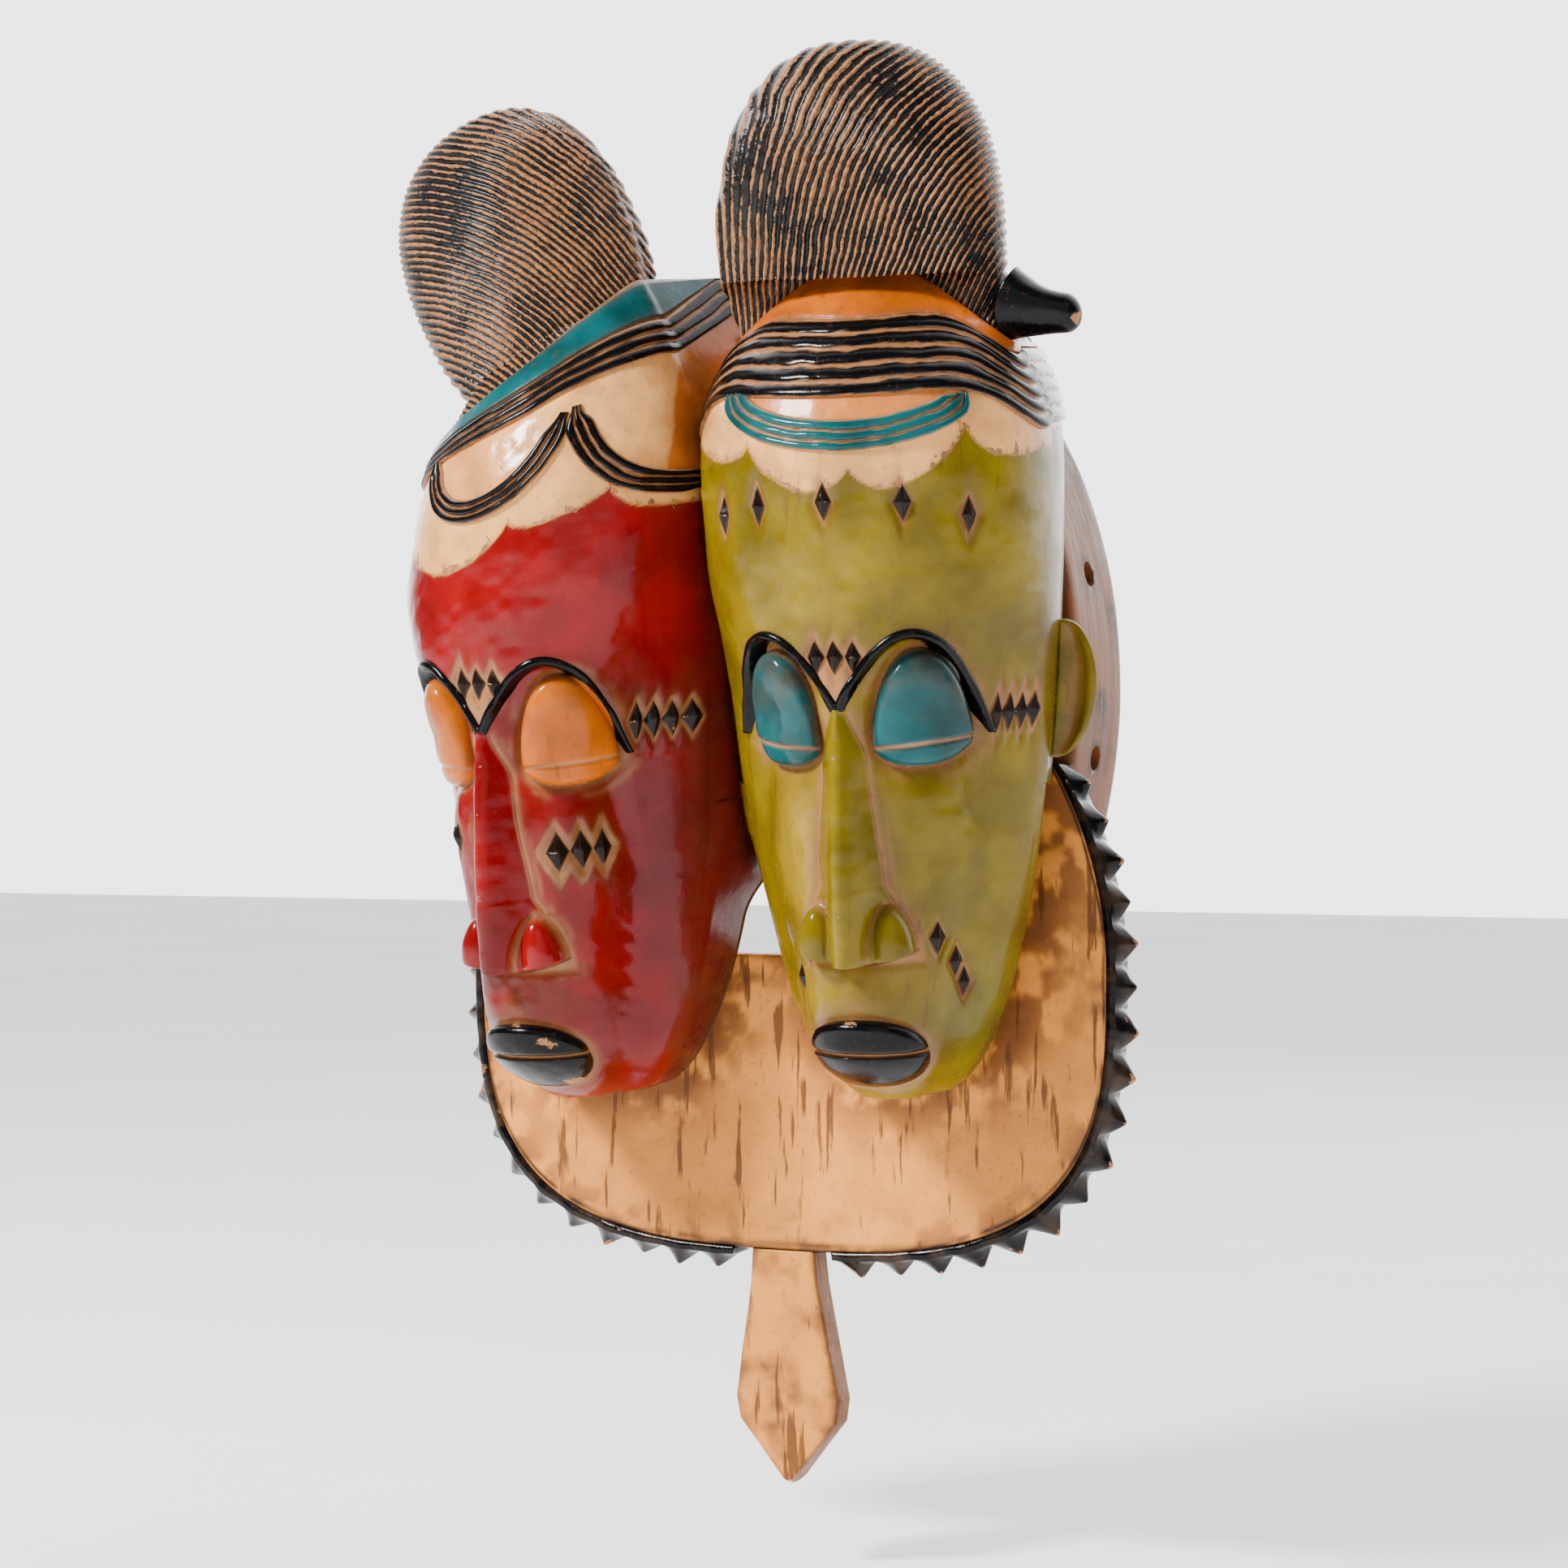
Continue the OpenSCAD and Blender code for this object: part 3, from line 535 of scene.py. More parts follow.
def rim_material(name):
    """Brown stained wood with long grain, blotches and a satin varnish."""
    g = Graph(name)
    grain = g.noise(240, 4, stretch=(1.0, 1.0, 0.1))
    blotch = g.noise(38, 5, roughness=0.6)
    color = g.mix(g.ramp(grain, 0.3, 0.7), RIM_BROWN, RIM_TAN)
    color = g.mix(g.ramp(blotch, 0.5, 0.72), color, DARK)
    color = g.mix(g.math("MULTIPLY", g.attribute("grime"), 0.95), color, BURNT)
    color = g.mix(g.math("MULTIPLY", g.ramp(g.noise(420, 4), 0.62, 0.72), 0.3), color, RIM_SCUFF)
    rough = g.ramp(grain, 0.3, 0.7, 0.42, 0.62)
    height = g.math("ADD", grain, g.math("MULTIPLY", g.noise(900, 2), 0.3))
    return g.finish(color, rough, height, 0.6, 0.0008, 0.05, 0.3, 0.2)


def floor_material(name):
    g = Graph(name)
    color = g.mix(g.ramp(g.noise(3, 3), 0.3, 0.7), (0.88, 0.88, 0.88), (0.92, 0.92, 0.92))
    return g.finish(color, 0.8, g.noise(120, 3), 0.1, 0.001)


# Each paint's gloss, chips, scratches, mottle and coat, then what differs from the usual streaks and shine.
PAINTS = {
    "red_paint": (0.17, 0.35, 0.15, 0.30, 0.2),
    "olive_paint": (0.20, 0.35, 0.4, 0.32, 0.15),
    "orange_paint": (0.18, 0.5, 0.4, 0.30, 0.15),
    "teal_paint": (0.17, 0.5, 0.2, 0.45, 0.15),
    "black_paint": (0.17, 0.6, 0.0, 0.2, 0.08, 0.63, 0.14),
    "peach_paint": (0.38, 0.15, 0.85, 0.16, 0.05, 0.585),
}
MATERIALS = {name: paint_material(name, *numbers) for name, numbers in PAINTS.items()}
MATERIALS["hair_wood"] = hair_material("hair_wood")
MATERIALS["rim_wood"] = rim_material("rim_wood")


# ---------------------------------------------------------------- meshes
def make_mesh(name, node, slot, points, faces, tint=None, wear=0.0, grime=0.0, phase=None, merge=False):
    """One piece that stands for a CAD node. Points are in millimetres."""
    points = np.asarray(points, float).reshape(-1, 3)
    mesh = bpy.data.meshes.new(name)
    mesh.from_pydata((points * MM).tolist(), [], faces)
    count = len(points)
    if tint is not None:
        layer = mesh.color_attributes.new("tint", "FLOAT_COLOR", "POINT")
        rgba = np.ones((count, 4))
        rgba[:, :3] = np.asarray(tint, float).reshape(-1, 3)
        layer.data.foreach_set("color", rgba.ravel())
    for key, value in (("wear", wear), ("grime", grime), ("phase", phase)):
        if value is not None:
            layer = mesh.attributes.new(key, "FLOAT", "POINT")
            values = np.broadcast_to(np.asarray(value, float).ravel(), (count,))
            layer.data.foreach_set("value", np.ascontiguousarray(values))
    if merge:
        work = bmesh.new()
        work.from_mesh(mesh)
        bmesh.ops.remove_doubles(work, verts=work.verts, dist=0.00001)
        work.to_mesh(mesh)
        work.free()
    mesh.validate()
    mesh.polygons.foreach_set("use_smooth", [True] * len(mesh.polygons))
    mesh.materials.append(MATERIALS[slot])
    obj = bpy.data.objects.new(name, mesh)
    bpy.context.scene.collection.objects.link(obj)
    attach(obj, "root")
    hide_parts(node)
    return obj


def grid_faces(m, n, offset=0, flip=False, wrap=False):
    """Quads over an m by n grid of points."""
    i, j = np.meshgrid(np.arange(m - 1), np.arange(n if wrap else n - 1), indexing="ij")
    a = offset + i * n + j
    d = offset + i * n + (j + 1) % n
    quads = np.stack([a, d, d + n, a + n], -1).reshape(-1, 4)
    return (quads[:, ::-1] if flip else quads).tolist()


def tube_faces(rows, count):
    """Faces of a tube: each row of points closes on itself, and both ends are capped."""
    last = (rows - 1) * count
    return grid_faces(rows, count, wrap=True) + [list(range(count))[::-1], list(range(last, last + count))]


def rounded_square(count, square):
    """Points round a square from -1 to 1 whose corners are sharper the larger square is."""
    t = np.linspace(0, math.tau, count, endpoint=False)[None]
    x, y = np.cos(t), np.sin(t)
    size = (np.abs(x) ** square + np.abs(y) ** square) ** (1 / square)
    return x / size, y / size


def border(m, n, offset=0):
    """Points round an m by n grid: along its first row, last column, last row and first column."""
    grid = offset + np.arange(m * n).reshape(m, n)
    return np.concatenate([grid[0, :-1], grid[:-1, -1], grid[-1, :0:-1], grid[:0:-1, 0]])


def slab(top, bottom, offset=0):
    """Points and faces of a solid between two grids of the same size."""
    m, n = top.shape[:2]
    faces = grid_faces(m, n, offset) + grid_faces(m, n, offset + m * n, flip=True)
    a, b = border(m, n, offset), border(m, n, offset + m * n)
    for k in range(len(a)):
        w = (k + 1) % len(a)
        faces.append([int(a[w]), int(a[k]), int(b[k]), int(b[w])])
    return np.concatenate([top.reshape(-1, 3), bottom.reshape(-1, 3)]), faces


def zipper(a, b):
    """Triangles between two rows of points that have different counts."""
    faces, i, j = [], 0, 0
    while i < len(a) - 1 or j < len(b) - 1:
        if j == len(b) - 1 or (i < len(a) - 1 and (i + 1) / (len(a) - 1) <= (j + 1) / (len(b) - 1)):
            faces.append([int(a[i]), int(a[i + 1]), int(b[j])])
            i += 1
        else:
            faces.append([int(a[i]), int(b[j + 1]), int(b[j])])
            j += 1
    return faces


class Patches:
    """Gathers several slabs, with their paint, into one piece."""

    def __init__(self):
        self.points, self.faces, self.tint, self.wear, self.grime, self.count = [], [], [], [], [], 0

    def add(self, top, bottom, tint, wear=0.0, grime=0.0):
        points, faces = slab(top, bottom, self.count)
        shape = top.shape[:2]
        tint = np.broadcast_to(tint, (*shape, 3)).reshape(-1, 3)
        wear = np.broadcast_to(wear, shape).ravel()
        grime = np.broadcast_to(grime, shape).ravel()
        self.points.append(points)
        self.faces += faces
        self.tint += [tint, tint]
        self.wear += [wear, wear]
        self.grime += [grime, grime]
        self.count += len(points)
        return self

    def raised(self, head, x, z, e, tint, wear, grime):
        """A detail that stands out from a face by e."""
        return self.add(head.at_x(x, z, e), head.at_x(x, z, SINK), tint, wear, grime)

    def build(self, name, slot):
        return make_mesh(name + "_carved", name, slot, np.concatenate(self.points), self.faces,
                         np.concatenate(self.tint), np.concatenate(self.wear), np.concatenate(self.grime))


WALL_TURN = 60.0  # degrees past 90 at which a band has reached the back edge of the side wall
SINK = -1.2  # how deep the underside of a raised detail sits below the face
RIDGE_H = 1.7  # how far a hair ridge stands out


# ---------------------------------------------------------------- head skins
def head_paint(head, x, z, a, arc, spot):
    """Colour, wear and grime of the head's skin at points x, z. spot holds them in the mask's frame."""
    sideways = head.across(spot)[0]
    p = flat_points(x, z)
    wobble = rough_noise(p, 9, 21)
    tint = shaded(head.paint, 0.22 * rough_noise(p, 30, 31))
    if head is RED:
        # Painted shade: the red face turns darker towards its right side and lower down.
        tint = paint_mix(tint, RED_PAINTED_SHADE, 0.75 * step01((x - 30) / 25) * step01((-30 - z) / 50))
        edge = scallop_z(x, *RED_CUSPS)
        above = step01(z - edge + 1.2 * wobble + 0.5)
        strip = step01((sideways - 38 - 0.12 * (z - 15) + 1.5 * wobble) / 1.5)
        segment = paint_mix(CREAM, AMBER, strip)
        inside = step01(red_segment(x, z) + 0.5)
        lobe = step01(red_lobe(x, z) + 0.5)
        cream = paint_mix(CREAM, WARM_CREAM, 0.8 * lobe)
        cream = paint_mix(cream, segment, inside)
    else:
        # Painted light: the olive face is paler on its left cheek, round the middle of its height.
        tint = paint_mix(tint, OLIVE_PAINTED_LIGHT, 0.6 * bell((x + 12) / 20) * bell((z + 120) / 60))
        # Painted shade: the olive face turns darker towards its lower right.
        tint = paint_mix(tint, OLIVE_PAINTED_SHADE, 0.7 * step01((x - 18) / 25) * step01((-150 - z) / 40))
        edge = scallop_z(x, *OLIVE_CUSPS)
        above = step01(z - edge + wobble + 0.5)
        under = 30 - 14 * np.sqrt(np.clip(1 - (x / 38) ** 2, 0, 1))
        inner = step01((z - under) / 1.2) * (np.abs(x) < 38)
        cream = paint_mix(CREAM, ORANGE, 0.75 * inner * step01((37 - z + 4 * (x / 30) ** 2 + 3 * wobble) / 2))
    stain = 0.55 * np.clip(rough_noise(p, 16, 77), 0, 1) + 0.12
    cream = paint_mix(cream, CREAM_STAIN, stain)
    tint = paint_mix(tint, cream, above)
    near = head.painted_distance(x, z)
    loz = head.lozenge_distance(arc, z)
    brow = np.abs(z - brow_z(x))
    halo = np.maximum(bell(np.maximum(near, 0) / 1.7), 0.95 * step01((0.8 - loz + wobble) / 1.4))
    halo = np.maximum(halo, 0.45 * bell(near - 3.2) * step01(wobble * 2 + 0.4))
    tint = paint_mix(tint, WOOD, halo * (0.86 + 0.3 * wobble))
    forehead_v = step01((14 - np.abs(x)) / 5) * step01((z - brow_z(x)) / 1.5) * step01((-52 - z) / 5)
    tint = paint_mix(tint, WOOD, 0.9 * forehead_v)
    grime = np.maximum(0.55 * bell(np.maximum(near, 0) / 5.0), 0.6 * bell(np.maximum(loz, 0) / 2.6))
    grime = np.maximum(grime, 0.5 * bell(brow / 3.0) * (np.abs(x) < 50))
    grime = np.maximum(grime, 0.5 * bell((z - edge) / 1.5))
    grime = np.maximum(grime, 0.5 * step01((np.abs(a) - 70) / 22))
    grime = np.clip(grime * (0.75 + 0.5 * wobble), 0, 1)
    over_lips = 0.55 * bell(x / 19) * bell((z + 168) / 9)
    tint = paint_mix(tint, LIP_SHADE, over_lips * np.clip(0.8 + wobble, 0, 1))
    wear = 0.12 + 0.35 * bell((z - edge) / 3.0) + 0.3 * bell(np.maximum(near, 0) / 3.0)
    wear = np.clip(wear + 0.2 * above, 0, 1)
    return tint, wear, grime


def red_segment(x, z):
    """Positive inside the big cream segment above the right loop of the red head."""
    u = np.clip((x - 23) / 34, 0, 1)
    return np.minimum(np.where(x > 21, z - 36 + 31 * np.sin(np.pi / 2 * u ** 0.8) - 3 * u, -9.0), 40.0)


def red_lobe(x, z):
    """Positive inside the left loop of the red head."""
    return 17 - np.hypot((x + 6) * 0.8, z - 22)


SIDE_COLS, FACE_COLS, LOW_ROWS, HIGH_ROWS, CAP_ROWS = 12, 212, 122, 194, 8


def skin_columns(angles, steps):
    """Side (0 on the face), distance along the side wall and angle of each column of points on a skin."""
    return np.array([(-1, s, -90.0) for s in steps[::-1]] + [(0, 0.0, a) for a in angles]
                    + [(1, s, 90.0) for s in steps]).T


def head_rows(head, columns, low, top, inset, low_rows, high_rows, cap_rows):
    """Points of a head's outer or inner skin, with the matching heights."""
    side, s, a = columns
    points, local_z = [], []

    def row(z, back):
        z = np.broadcast_to(z, a.shape).astype(float)
        p = head.surface(a, z, -inset, carved=inset == 0)
        for k in (-1, 1):
            w = head.wall(k, z, s, inset, back)
            p = np.where((side == k)[:, None], w, p)
        points.append(p)
        local_z.append(z)
        return p

    for u in np.linspace(0, 1, low_rows):
        row(low + (STEP_Z - low) * u, PLATE_FRONT)
    for u in np.linspace(0, 1, high_rows):
        last = row(STEP_Z + (top - STEP_Z) * u, -RIM_DEPTH)
    r = head.radius(top)
    x = np.where(side == 0, r * np.sin(np.radians(a)), 0)
    qx = np.where(np.sign(x) == head.side, 0.84 * x, x) + head.middle(top)
    for k in (-1, 1):
        rk = r - inset
        wide = np.where(k == head.side, rk * 0.84, rk + 16 * step01((top + 150) / 35))
        qx = np.where(side == k, head.middle(top) + k * wide, qx)
    end = head.keep_side(head.place(qx, head.back_y(qx, top, -RIM_DEPTH), top), 4.0 if inset > 0 else 0.0)
    for u in np.linspace(0, 1, cap_rows + 1)[1:]:
        points.append(last * (1 - u) + end * u)
        local_z.append(top + 0 * a)
    return np.array(points), np.array(local_z)


def head_skin(head):
    fine = skin_columns(np.linspace(-90, 90, FACE_COLS), np.linspace(0, 1, SIDE_COLS + 1)[1:])
    outer, z = head_rows(head, fine, JAW_Z, head.cut_at(fine[2]), 0.0, LOW_ROWS, HIGH_ROWS, CAP_ROWS)
    coarse = skin_columns(np.linspace(-90, 90, 29), (0.3, 0.6, 1.0))
    inner_top = np.minimum(HOLLOW_Z[1], head.cut_at(coarse[2]) - 14)
    inner = head_rows(head, coarse, HOLLOW_Z[0], inner_top, HEAD_WALL, 20, 28, 1)[0]
    m, n = outer.shape[:2]
    mi, ni = inner.shape[:2]
    o = m * n
    faces = grid_faces(m, n) + grid_faces(mi, ni, o, flip=True)
    og, ig = np.arange(m * n).reshape(m, n), o + np.arange(mi * ni).reshape(mi, ni)
    faces += zipper(ig[:, 0], og[:, 0]) + zipper(og[:, -1], ig[:, -1]) + zipper(ig[-1, :], og[-1, :])
    faces += [og[0, :].tolist()[::-1], ig[0, :].tolist(), [int(og[0, 0]), int(og[0, -1]), int(ig[0, -1]),
                                                           int(ig[0, 0])]]
    aa = np.broadcast_to(fine[2], z.shape)
    side_s = np.broadcast_to(fine[1], z.shape)
    x = (head.radius(z) + 45 * side_s) * np.sin(np.radians(aa))
    arc = arc_of(aa) + 45 * side_s * np.sign(aa)
    tint, wear, grime = head_paint(head, x, z, aa, arc, outer)
    inside_edge = head.side * np.sin(np.radians(aa)) < 0
    bare = step01((side_s - 0.55) / 0.3) * np.where(inside_edge & (z > 20), 0.0, 1.0)
    tint = paint_mix(tint, BROWN, 0.75 * bare)
    cap = np.zeros(z.shape)
    cap[-CAP_ROWS:] = 1
    tint = paint_mix(tint, DARK, cap)
    inner_tint = np.broadcast_to(np.array(BROWN) * 0.9, (mi * ni, 3))
    make_mesh(head.name + "_head_carved", head.name + "_head", head.name + "_paint",
              np.concatenate([outer.reshape(-1, 3), inner.reshape(-1, 3)]), faces,
              np.concatenate([tint.reshape(-1, 3), inner_tint]),
              np.concatenate([wear.ravel(), np.full(mi * ni, 0.3)]),
              np.concatenate([grime.ravel(), np.full(mi * ni, 0.3)]), merge=True)


# ---------------------------------------------------------------- carved details on a face
def brow(head):
    """Black line along the ledge over both eyes."""
    t = np.linspace(-1, 1, 241)
    x = np.sign(t) * (0.2 + 49 * np.abs(t))
    z = brow_z(x) + 0.4
    d = np.gradient(x), np.gradient(z)
    length = np.hypot(*d)
    nx, nz = -d[1] / length, d[0] / length
    s = np.linspace(-1, 1, 11)
    half = 1.9 * (0.45 + 0.55 * step01((1 - np.abs(t)) / 0.12)) + 0.25 * noise(flat_points(x, z), 6, 5)
    xx = x[None] + nx[None] * s[:, None] * half[None]
    zz = z[None] + nz[None] * s[:, None] * half[None]
    e = 0.1 + 1.5 * np.sqrt(1 - 0.96 * s * s)[:, None] + 0.2 * noise(flat_points(xx, zz), 5, 7)
    worn = 0.35 * (np.abs(s)[:, None] > 0.7) + 0 * xx
    Patches().raised(head, xx, zz, e, BLACK, worn, 0.0).build(head.name + "_brow", "black_paint")


def nose(head):
    z = np.concatenate([np.linspace(-159.6, -157.5, 8), np.linspace(-157.2, -74, 120)])
    u = np.linspace(-1, 1, 71)
    half = nose_half(z)[:, None]
    x = u[None] * half
    zz = z[:, None] + 0 * x
    rows_z = zz + 4.5 * np.abs(u) ** 2 * step01((-142 - zz) / 16)
    out = 1.5 + (NOSE_H - 1.5) * step01((-68 - zz) / 98) ** 0.85
    slim = np.minimum(half, 12.0)
    flank = 1.75
    ridge = out * np.clip(bell(flank * x / slim) - math.exp(-flank ** 2), 0, 1) / (1 - math.exp(-flank ** 2))
    level = 1 - ((np.abs(x) - WING_X) / WING_W) ** 2 - (np.maximum(zz - NOSE_BASE, 0) / WING_TALL) ** 2
    wing = 9.5 * np.sqrt(np.clip(level, 0, 1))
    crease = 1.2 * bell(level / 0.16)
    e = np.maximum(np.maximum(ridge, wing) - crease, 0.3)
    underside = step01((zz + 159.6) / 1.9)
    e = 0.2 + e * underside * step01((1 - np.abs(u)) / 0.03)
    tint = shaded(head.paint, 0.15 * noise(flat_points(x, zz), 12, 4))
    groove = np.maximum(bell((np.abs(u) - 1) / 0.05) + 0 * x, 0.8 * bell(level / 0.13))
    tint = paint_mix(tint, WOOD, groove)
    # Painted shadow: the lowest 1.4 mm of the nose, just above its underside, turns almost to DARK.
    tint = paint_mix(tint, DARK, 0.9 * (1 - step01((zz + 159.6) / 1.4)))
    if head is RED:
        tint = paint_mix(tint, DARK, 0.5 * bell(x / 3.5) * step01((-125 - zz) / 20))
    patches = Patches()
    patches.raised(head, x, rows_z, e, tint, 0.15 + 0.3 * bell(x / 2), 0.5 * groove)
    patches.build(head.name + "_nose", head.name + "_paint")


def eyelids(head, slot, paint):
    patches = Patches()
    v = np.linspace(0, 1, 61)[:, None]
    u = np.linspace(-1, 1, 49)[None]
    for middle, half in head.eyes:
        w = np.clip(1 - 0.995 * np.abs(u) ** 2.2, 0, 1)
        low, high = EYE_LOW * w ** 0.5, EYE_TOP * w ** 0.571
        x = middle + half * u + 0 * v
        z = EYE_BASE - low + (low + high) * v
        dome = np.sqrt(np.clip(1 - np.abs(2 * v - 1) ** 2.6, 0, 1))
        dome = dome * np.clip(1 - np.abs(u) ** 2.6, 0, 1) ** 0.5
        slit_z = EYE_BASE - 0.3 + 1.0 * u * np.sign(middle)
        slit = bell((z - slit_z) / 0.65) * step01((1 - np.abs(u)) / 0.06)
        e = 0.4 + 8.0 * dome - 1.2 * slit - 0.8 * step01((slit_z - z) / 0.8) * dome
        p = flat_points(x, z)
        tint = shaded(paint, 0.12 * noise(p, 7, 8))
        rim = step01((np.maximum(np.abs(u) + 0 * v, np.abs(2 * v - 1) + 0 * u) - 0.93) / 0.07)
        # Each lid turns darker towards its top, in patches: teal towards grey, orange towards a deeper
        # orange.
        if slot == "teal_paint":
            darkening = 0.85 * step01((v - 0.3) / 0.6) * (0.6 + 0.9 * rough_noise(p, 8, 12))
            tint = paint_mix(tint, TEAL_LID_TOP, darkening)
        else:
            darkening = 0.5 * step01((v - 0.2) / 0.8) * np.clip(rough_noise(p, 6, 12) + 0.2, 0, 1)
            tint = paint_mix(tint, ORANGE_LID_TOP, darkening)
        tint = paint_mix(tint, WOOD, np.maximum(0.95 * slit, 0.6 * rim))
        patches.raised(head, x, z, e, tint, 0.25 + 0.3 * rim, 0.35 * rim)
    patches.build(head.name + "_eyelids", slot)


def lips(head):
    v = np.concatenate([np.linspace(-1, 0, 34)[:-1], np.linspace(0, 1, 28)])[:, None]
    u = np.linspace(-1, 1, 61)[None]
    w = np.clip(1 - np.abs(u) ** 2.2, 0, 1) ** 0.5
    tall = np.where(v > 0, UPPER_LIP, LOWER_LIP)
    x = MOUTH_W * u + 0 * v
    z = MOUTH_Z + v * tall * np.maximum(w, 0.03)
    out = (1 - 0.55 * np.abs(v) ** 2.2) * (1 - 0.55 * np.abs(u) ** 3)
    slit = bell((z - MOUTH_Z) / 0.8)
    e = 0.5 + 6.0 * out * step01((1 - np.abs(v)) / 0.06) * step01((1 - np.abs(u)) / 0.05) - 2.2 * slit
    p = flat_points(x, z)
    tint = paint_mix(BLACK, WOOD, 0.75 * bell((z - MOUTH_Z) / 0.55))
    rim = step01((np.abs(v) - 0.8) / 0.2)
    wear = 0.10 + 0.55 * rim * np.clip(0.4 + rough_noise(p, 7, 5), 0, 1)
    if head is RED:
        wear = wear + 0.62 * bell((x - 9) / 5) * np.maximum(bell((z + 184) / 3), bell((z + 200) / 3))
    Patches().raised(head, x, z, e, tint, wear, 0.0).build(head.name + "_lips", "black_paint")


def lozenge_set(head, name, lozenges):
    patches = Patches()
    s = np.linspace(-1, 1, 13)
    ss, tt = np.meshgrid(s, s, indexing="ij")
    for k, (x0, z0, half_w, half_h, _) in enumerate(lozenges):
        x = x0 + half_w * (ss + tt) / 2 * (1 + 0.06 * math.sin(9.1 * k))
        z = z0 + half_h * (tt - ss) / 2 * (1 + 0.06 * math.cos(5.3 * k))
        level = np.maximum(np.abs(ss), np.abs(tt))
        e = 0.2 + 2.2 * np.clip(1 - level, 0, 0.86) + 0.12 * noise(flat_points(x, z), 2, k)
        tint = paint_mix(BLACK, WOOD, 0.35 * step01((level - 0.86) / 0.14))
        wear = 0.35 * bell((np.abs(ss) - np.abs(tt)) / 0.2) + 0.1
        patches.add(head.at_arc(x, z, e), head.at_arc(x, z, SINK), tint, wear, 0.1)
    patches.build(name, "black_paint")


def hair_band(head, name, slot, a0, a1, near, far, profile, columns=260, rows=41):
    """A band under the hair line. profile gives height, colour, wear and grime from v, 0 below to 1 above."""
    a = np.linspace(a0, a1, columns)[None]
    v = np.linspace(0, 1, rows)[:, None]
    cut = head.cut_at(np.clip(a, -90, 90))
    face = np.clip(a, -90, 90)
    z = cut - far(a) + (far(a) - near(a)) * v
    x = head.radius(z) * np.sin(np.radians(face)) + 0.8 * (a - face)
    e, tint, wear, grime = profile(v + 0 * a, x, z)
    ends = step01((a - a0) / 1.5) * step01((a1 - a) / 1.5)
    top, bottom = head.skin(a + 0 * v, z, e * ends + 0.15), head.skin(a + 0 * v, z, SINK + 0 * e)
    Patches().add(top, bottom, tint, wear, grime).build(name, slot)


def ridges(count, height, paint):
    """Profile of a band of parallel ridges with bare wood between them."""
    def profile(v, x, z):
        p = flat_points(x, z)
        wander = 0.16 * noise(p, 14, 6) + 0.10 * noise(p, 5, 16)
        wave = np.abs(np.sin(np.pi * (v * count + wander * np.sin(np.pi * v))))
        e = 0.2 + height * wave ** 0.6
        bare = 1 - step01((wave - 0.22 + 0.22 * rough_noise(p, 4, 26)) / 0.30)
        tint = paint_mix(paint, WOOD, 0.92 * bare)
        return e, tint, 0.15 + 0.35 * bare, 0.35 * bare
    return profile


def flat_band(paint, height):
    def profile(v, x, z):
        p = flat_points(x, z)
        edge = np.minimum(v, 1 - v)
        e = height * step01(edge / 0.12) + 0.15 * noise(p, 6, 3)
        tint = shaded(paint, 0.25 * rough_noise(p, 12, 13))
        rim = bell(edge / 0.05)
        return e, paint_mix(tint, WOOD, 0.75 * rim), 0.25 + 0.3 * rim, 0.55 * bell(edge / 0.16)
    return profile


def loop_band(head, patches, path, width, paint, columns=150, rows=29):
    """Three parallel ridges that follow a path of head x and z given by u from 0 to 1."""
    u = np.linspace(0, 1, columns)
    x, z = path(u)
    dx, dz = np.gradient(x), np.gradient(z)
    length = np.hypot(dx, dz)
    s = np.linspace(-0.5, 0.5, rows)[:, None]
    taper = 0.35 + 0.65 * step01(np.minimum(u, 1 - u) / 0.10)
    xx = x[None] - dz[None] / length[None] * s * width * taper[None]
    zz = z[None] + dx[None] / length[None] * s * width * taper[None]
    patches.raised(head, xx, zz, *ridges(3, RIDGE_H, paint)(s + 0.5 + 0 * xx, xx, zz))


def ear(head):
    """A rounded ear on the side wall, with a hollow inside its rim."""
    rows, count, split = 57, 40, 0.62
    out = 13.0 if head is GREEN else 4.0
    v = np.linspace(0, 1, rows)[:, None]
    z = -97 + 46 * v
    bulge = 1 + out * np.sqrt(1 - 0.99 * (2 * v - 1) ** 2)
    a = head.wall(head.side, z, 0.30, 0.0, -RIM_DEPTH)
    b = head.wall(head.side, z, 0.50, 0.0, -RIM_DEPTH)
    t = np.linspace(0, 1, count)
    front = t < split
    along = np.where(front, t / split, 1 - (t - split) / 0.38)
    rim = step01((along - 0.62) / 0.2) * step01((1.02 - along) / 0.1)
    fold = -1.8 * bell((along - 0.45) / 0.25) + 1.2 * rim
    points = np.zeros((rows, count, 3))
    for k in range(count):
        p = (a if front[k] else b)[:, 0].copy()
        p[:, 0] += head.side * bulge[:, 0] * along[k]
        lift = fold[k] * step01(np.minimum(v, 1 - v) / 0.18)[:, 0]
        p[:, 1] += (along[k] - lift) if front[k] else -0.3
        points[:, k] = p
    if head.side > 0:
        points = points[:, ::-1]
    tint = shaded(head.paint, 0.2 * noise(points, 8, 3))
    shade = np.broadcast_to(bell((along - 0.45) / 0.2), (rows, count))
    if head.side > 0:
        shade = shade[:, ::-1]
    make_mesh(head.name + "_ear_carved", head.name + "_ear", head.name + "_paint", points,
              tube_faces(rows, count), paint_mix(tint, WOOD, 0.35 * shade), 0.35, 0.6 * shade)


# ---------------------------------------------------------------- coiffures and horn
COIFFURES = {
    "red": dict(mid=(-12, 6, 85.5), tilt=24, size=(48.0, 30.0, 57.12), start=-32, foot=(-86, 38)),
    "olive": dict(mid=(-4, 0, 75), tilt=0, size=(50.0, 32.0, 68.0), start=-6, foot=(-88, 88)),
}


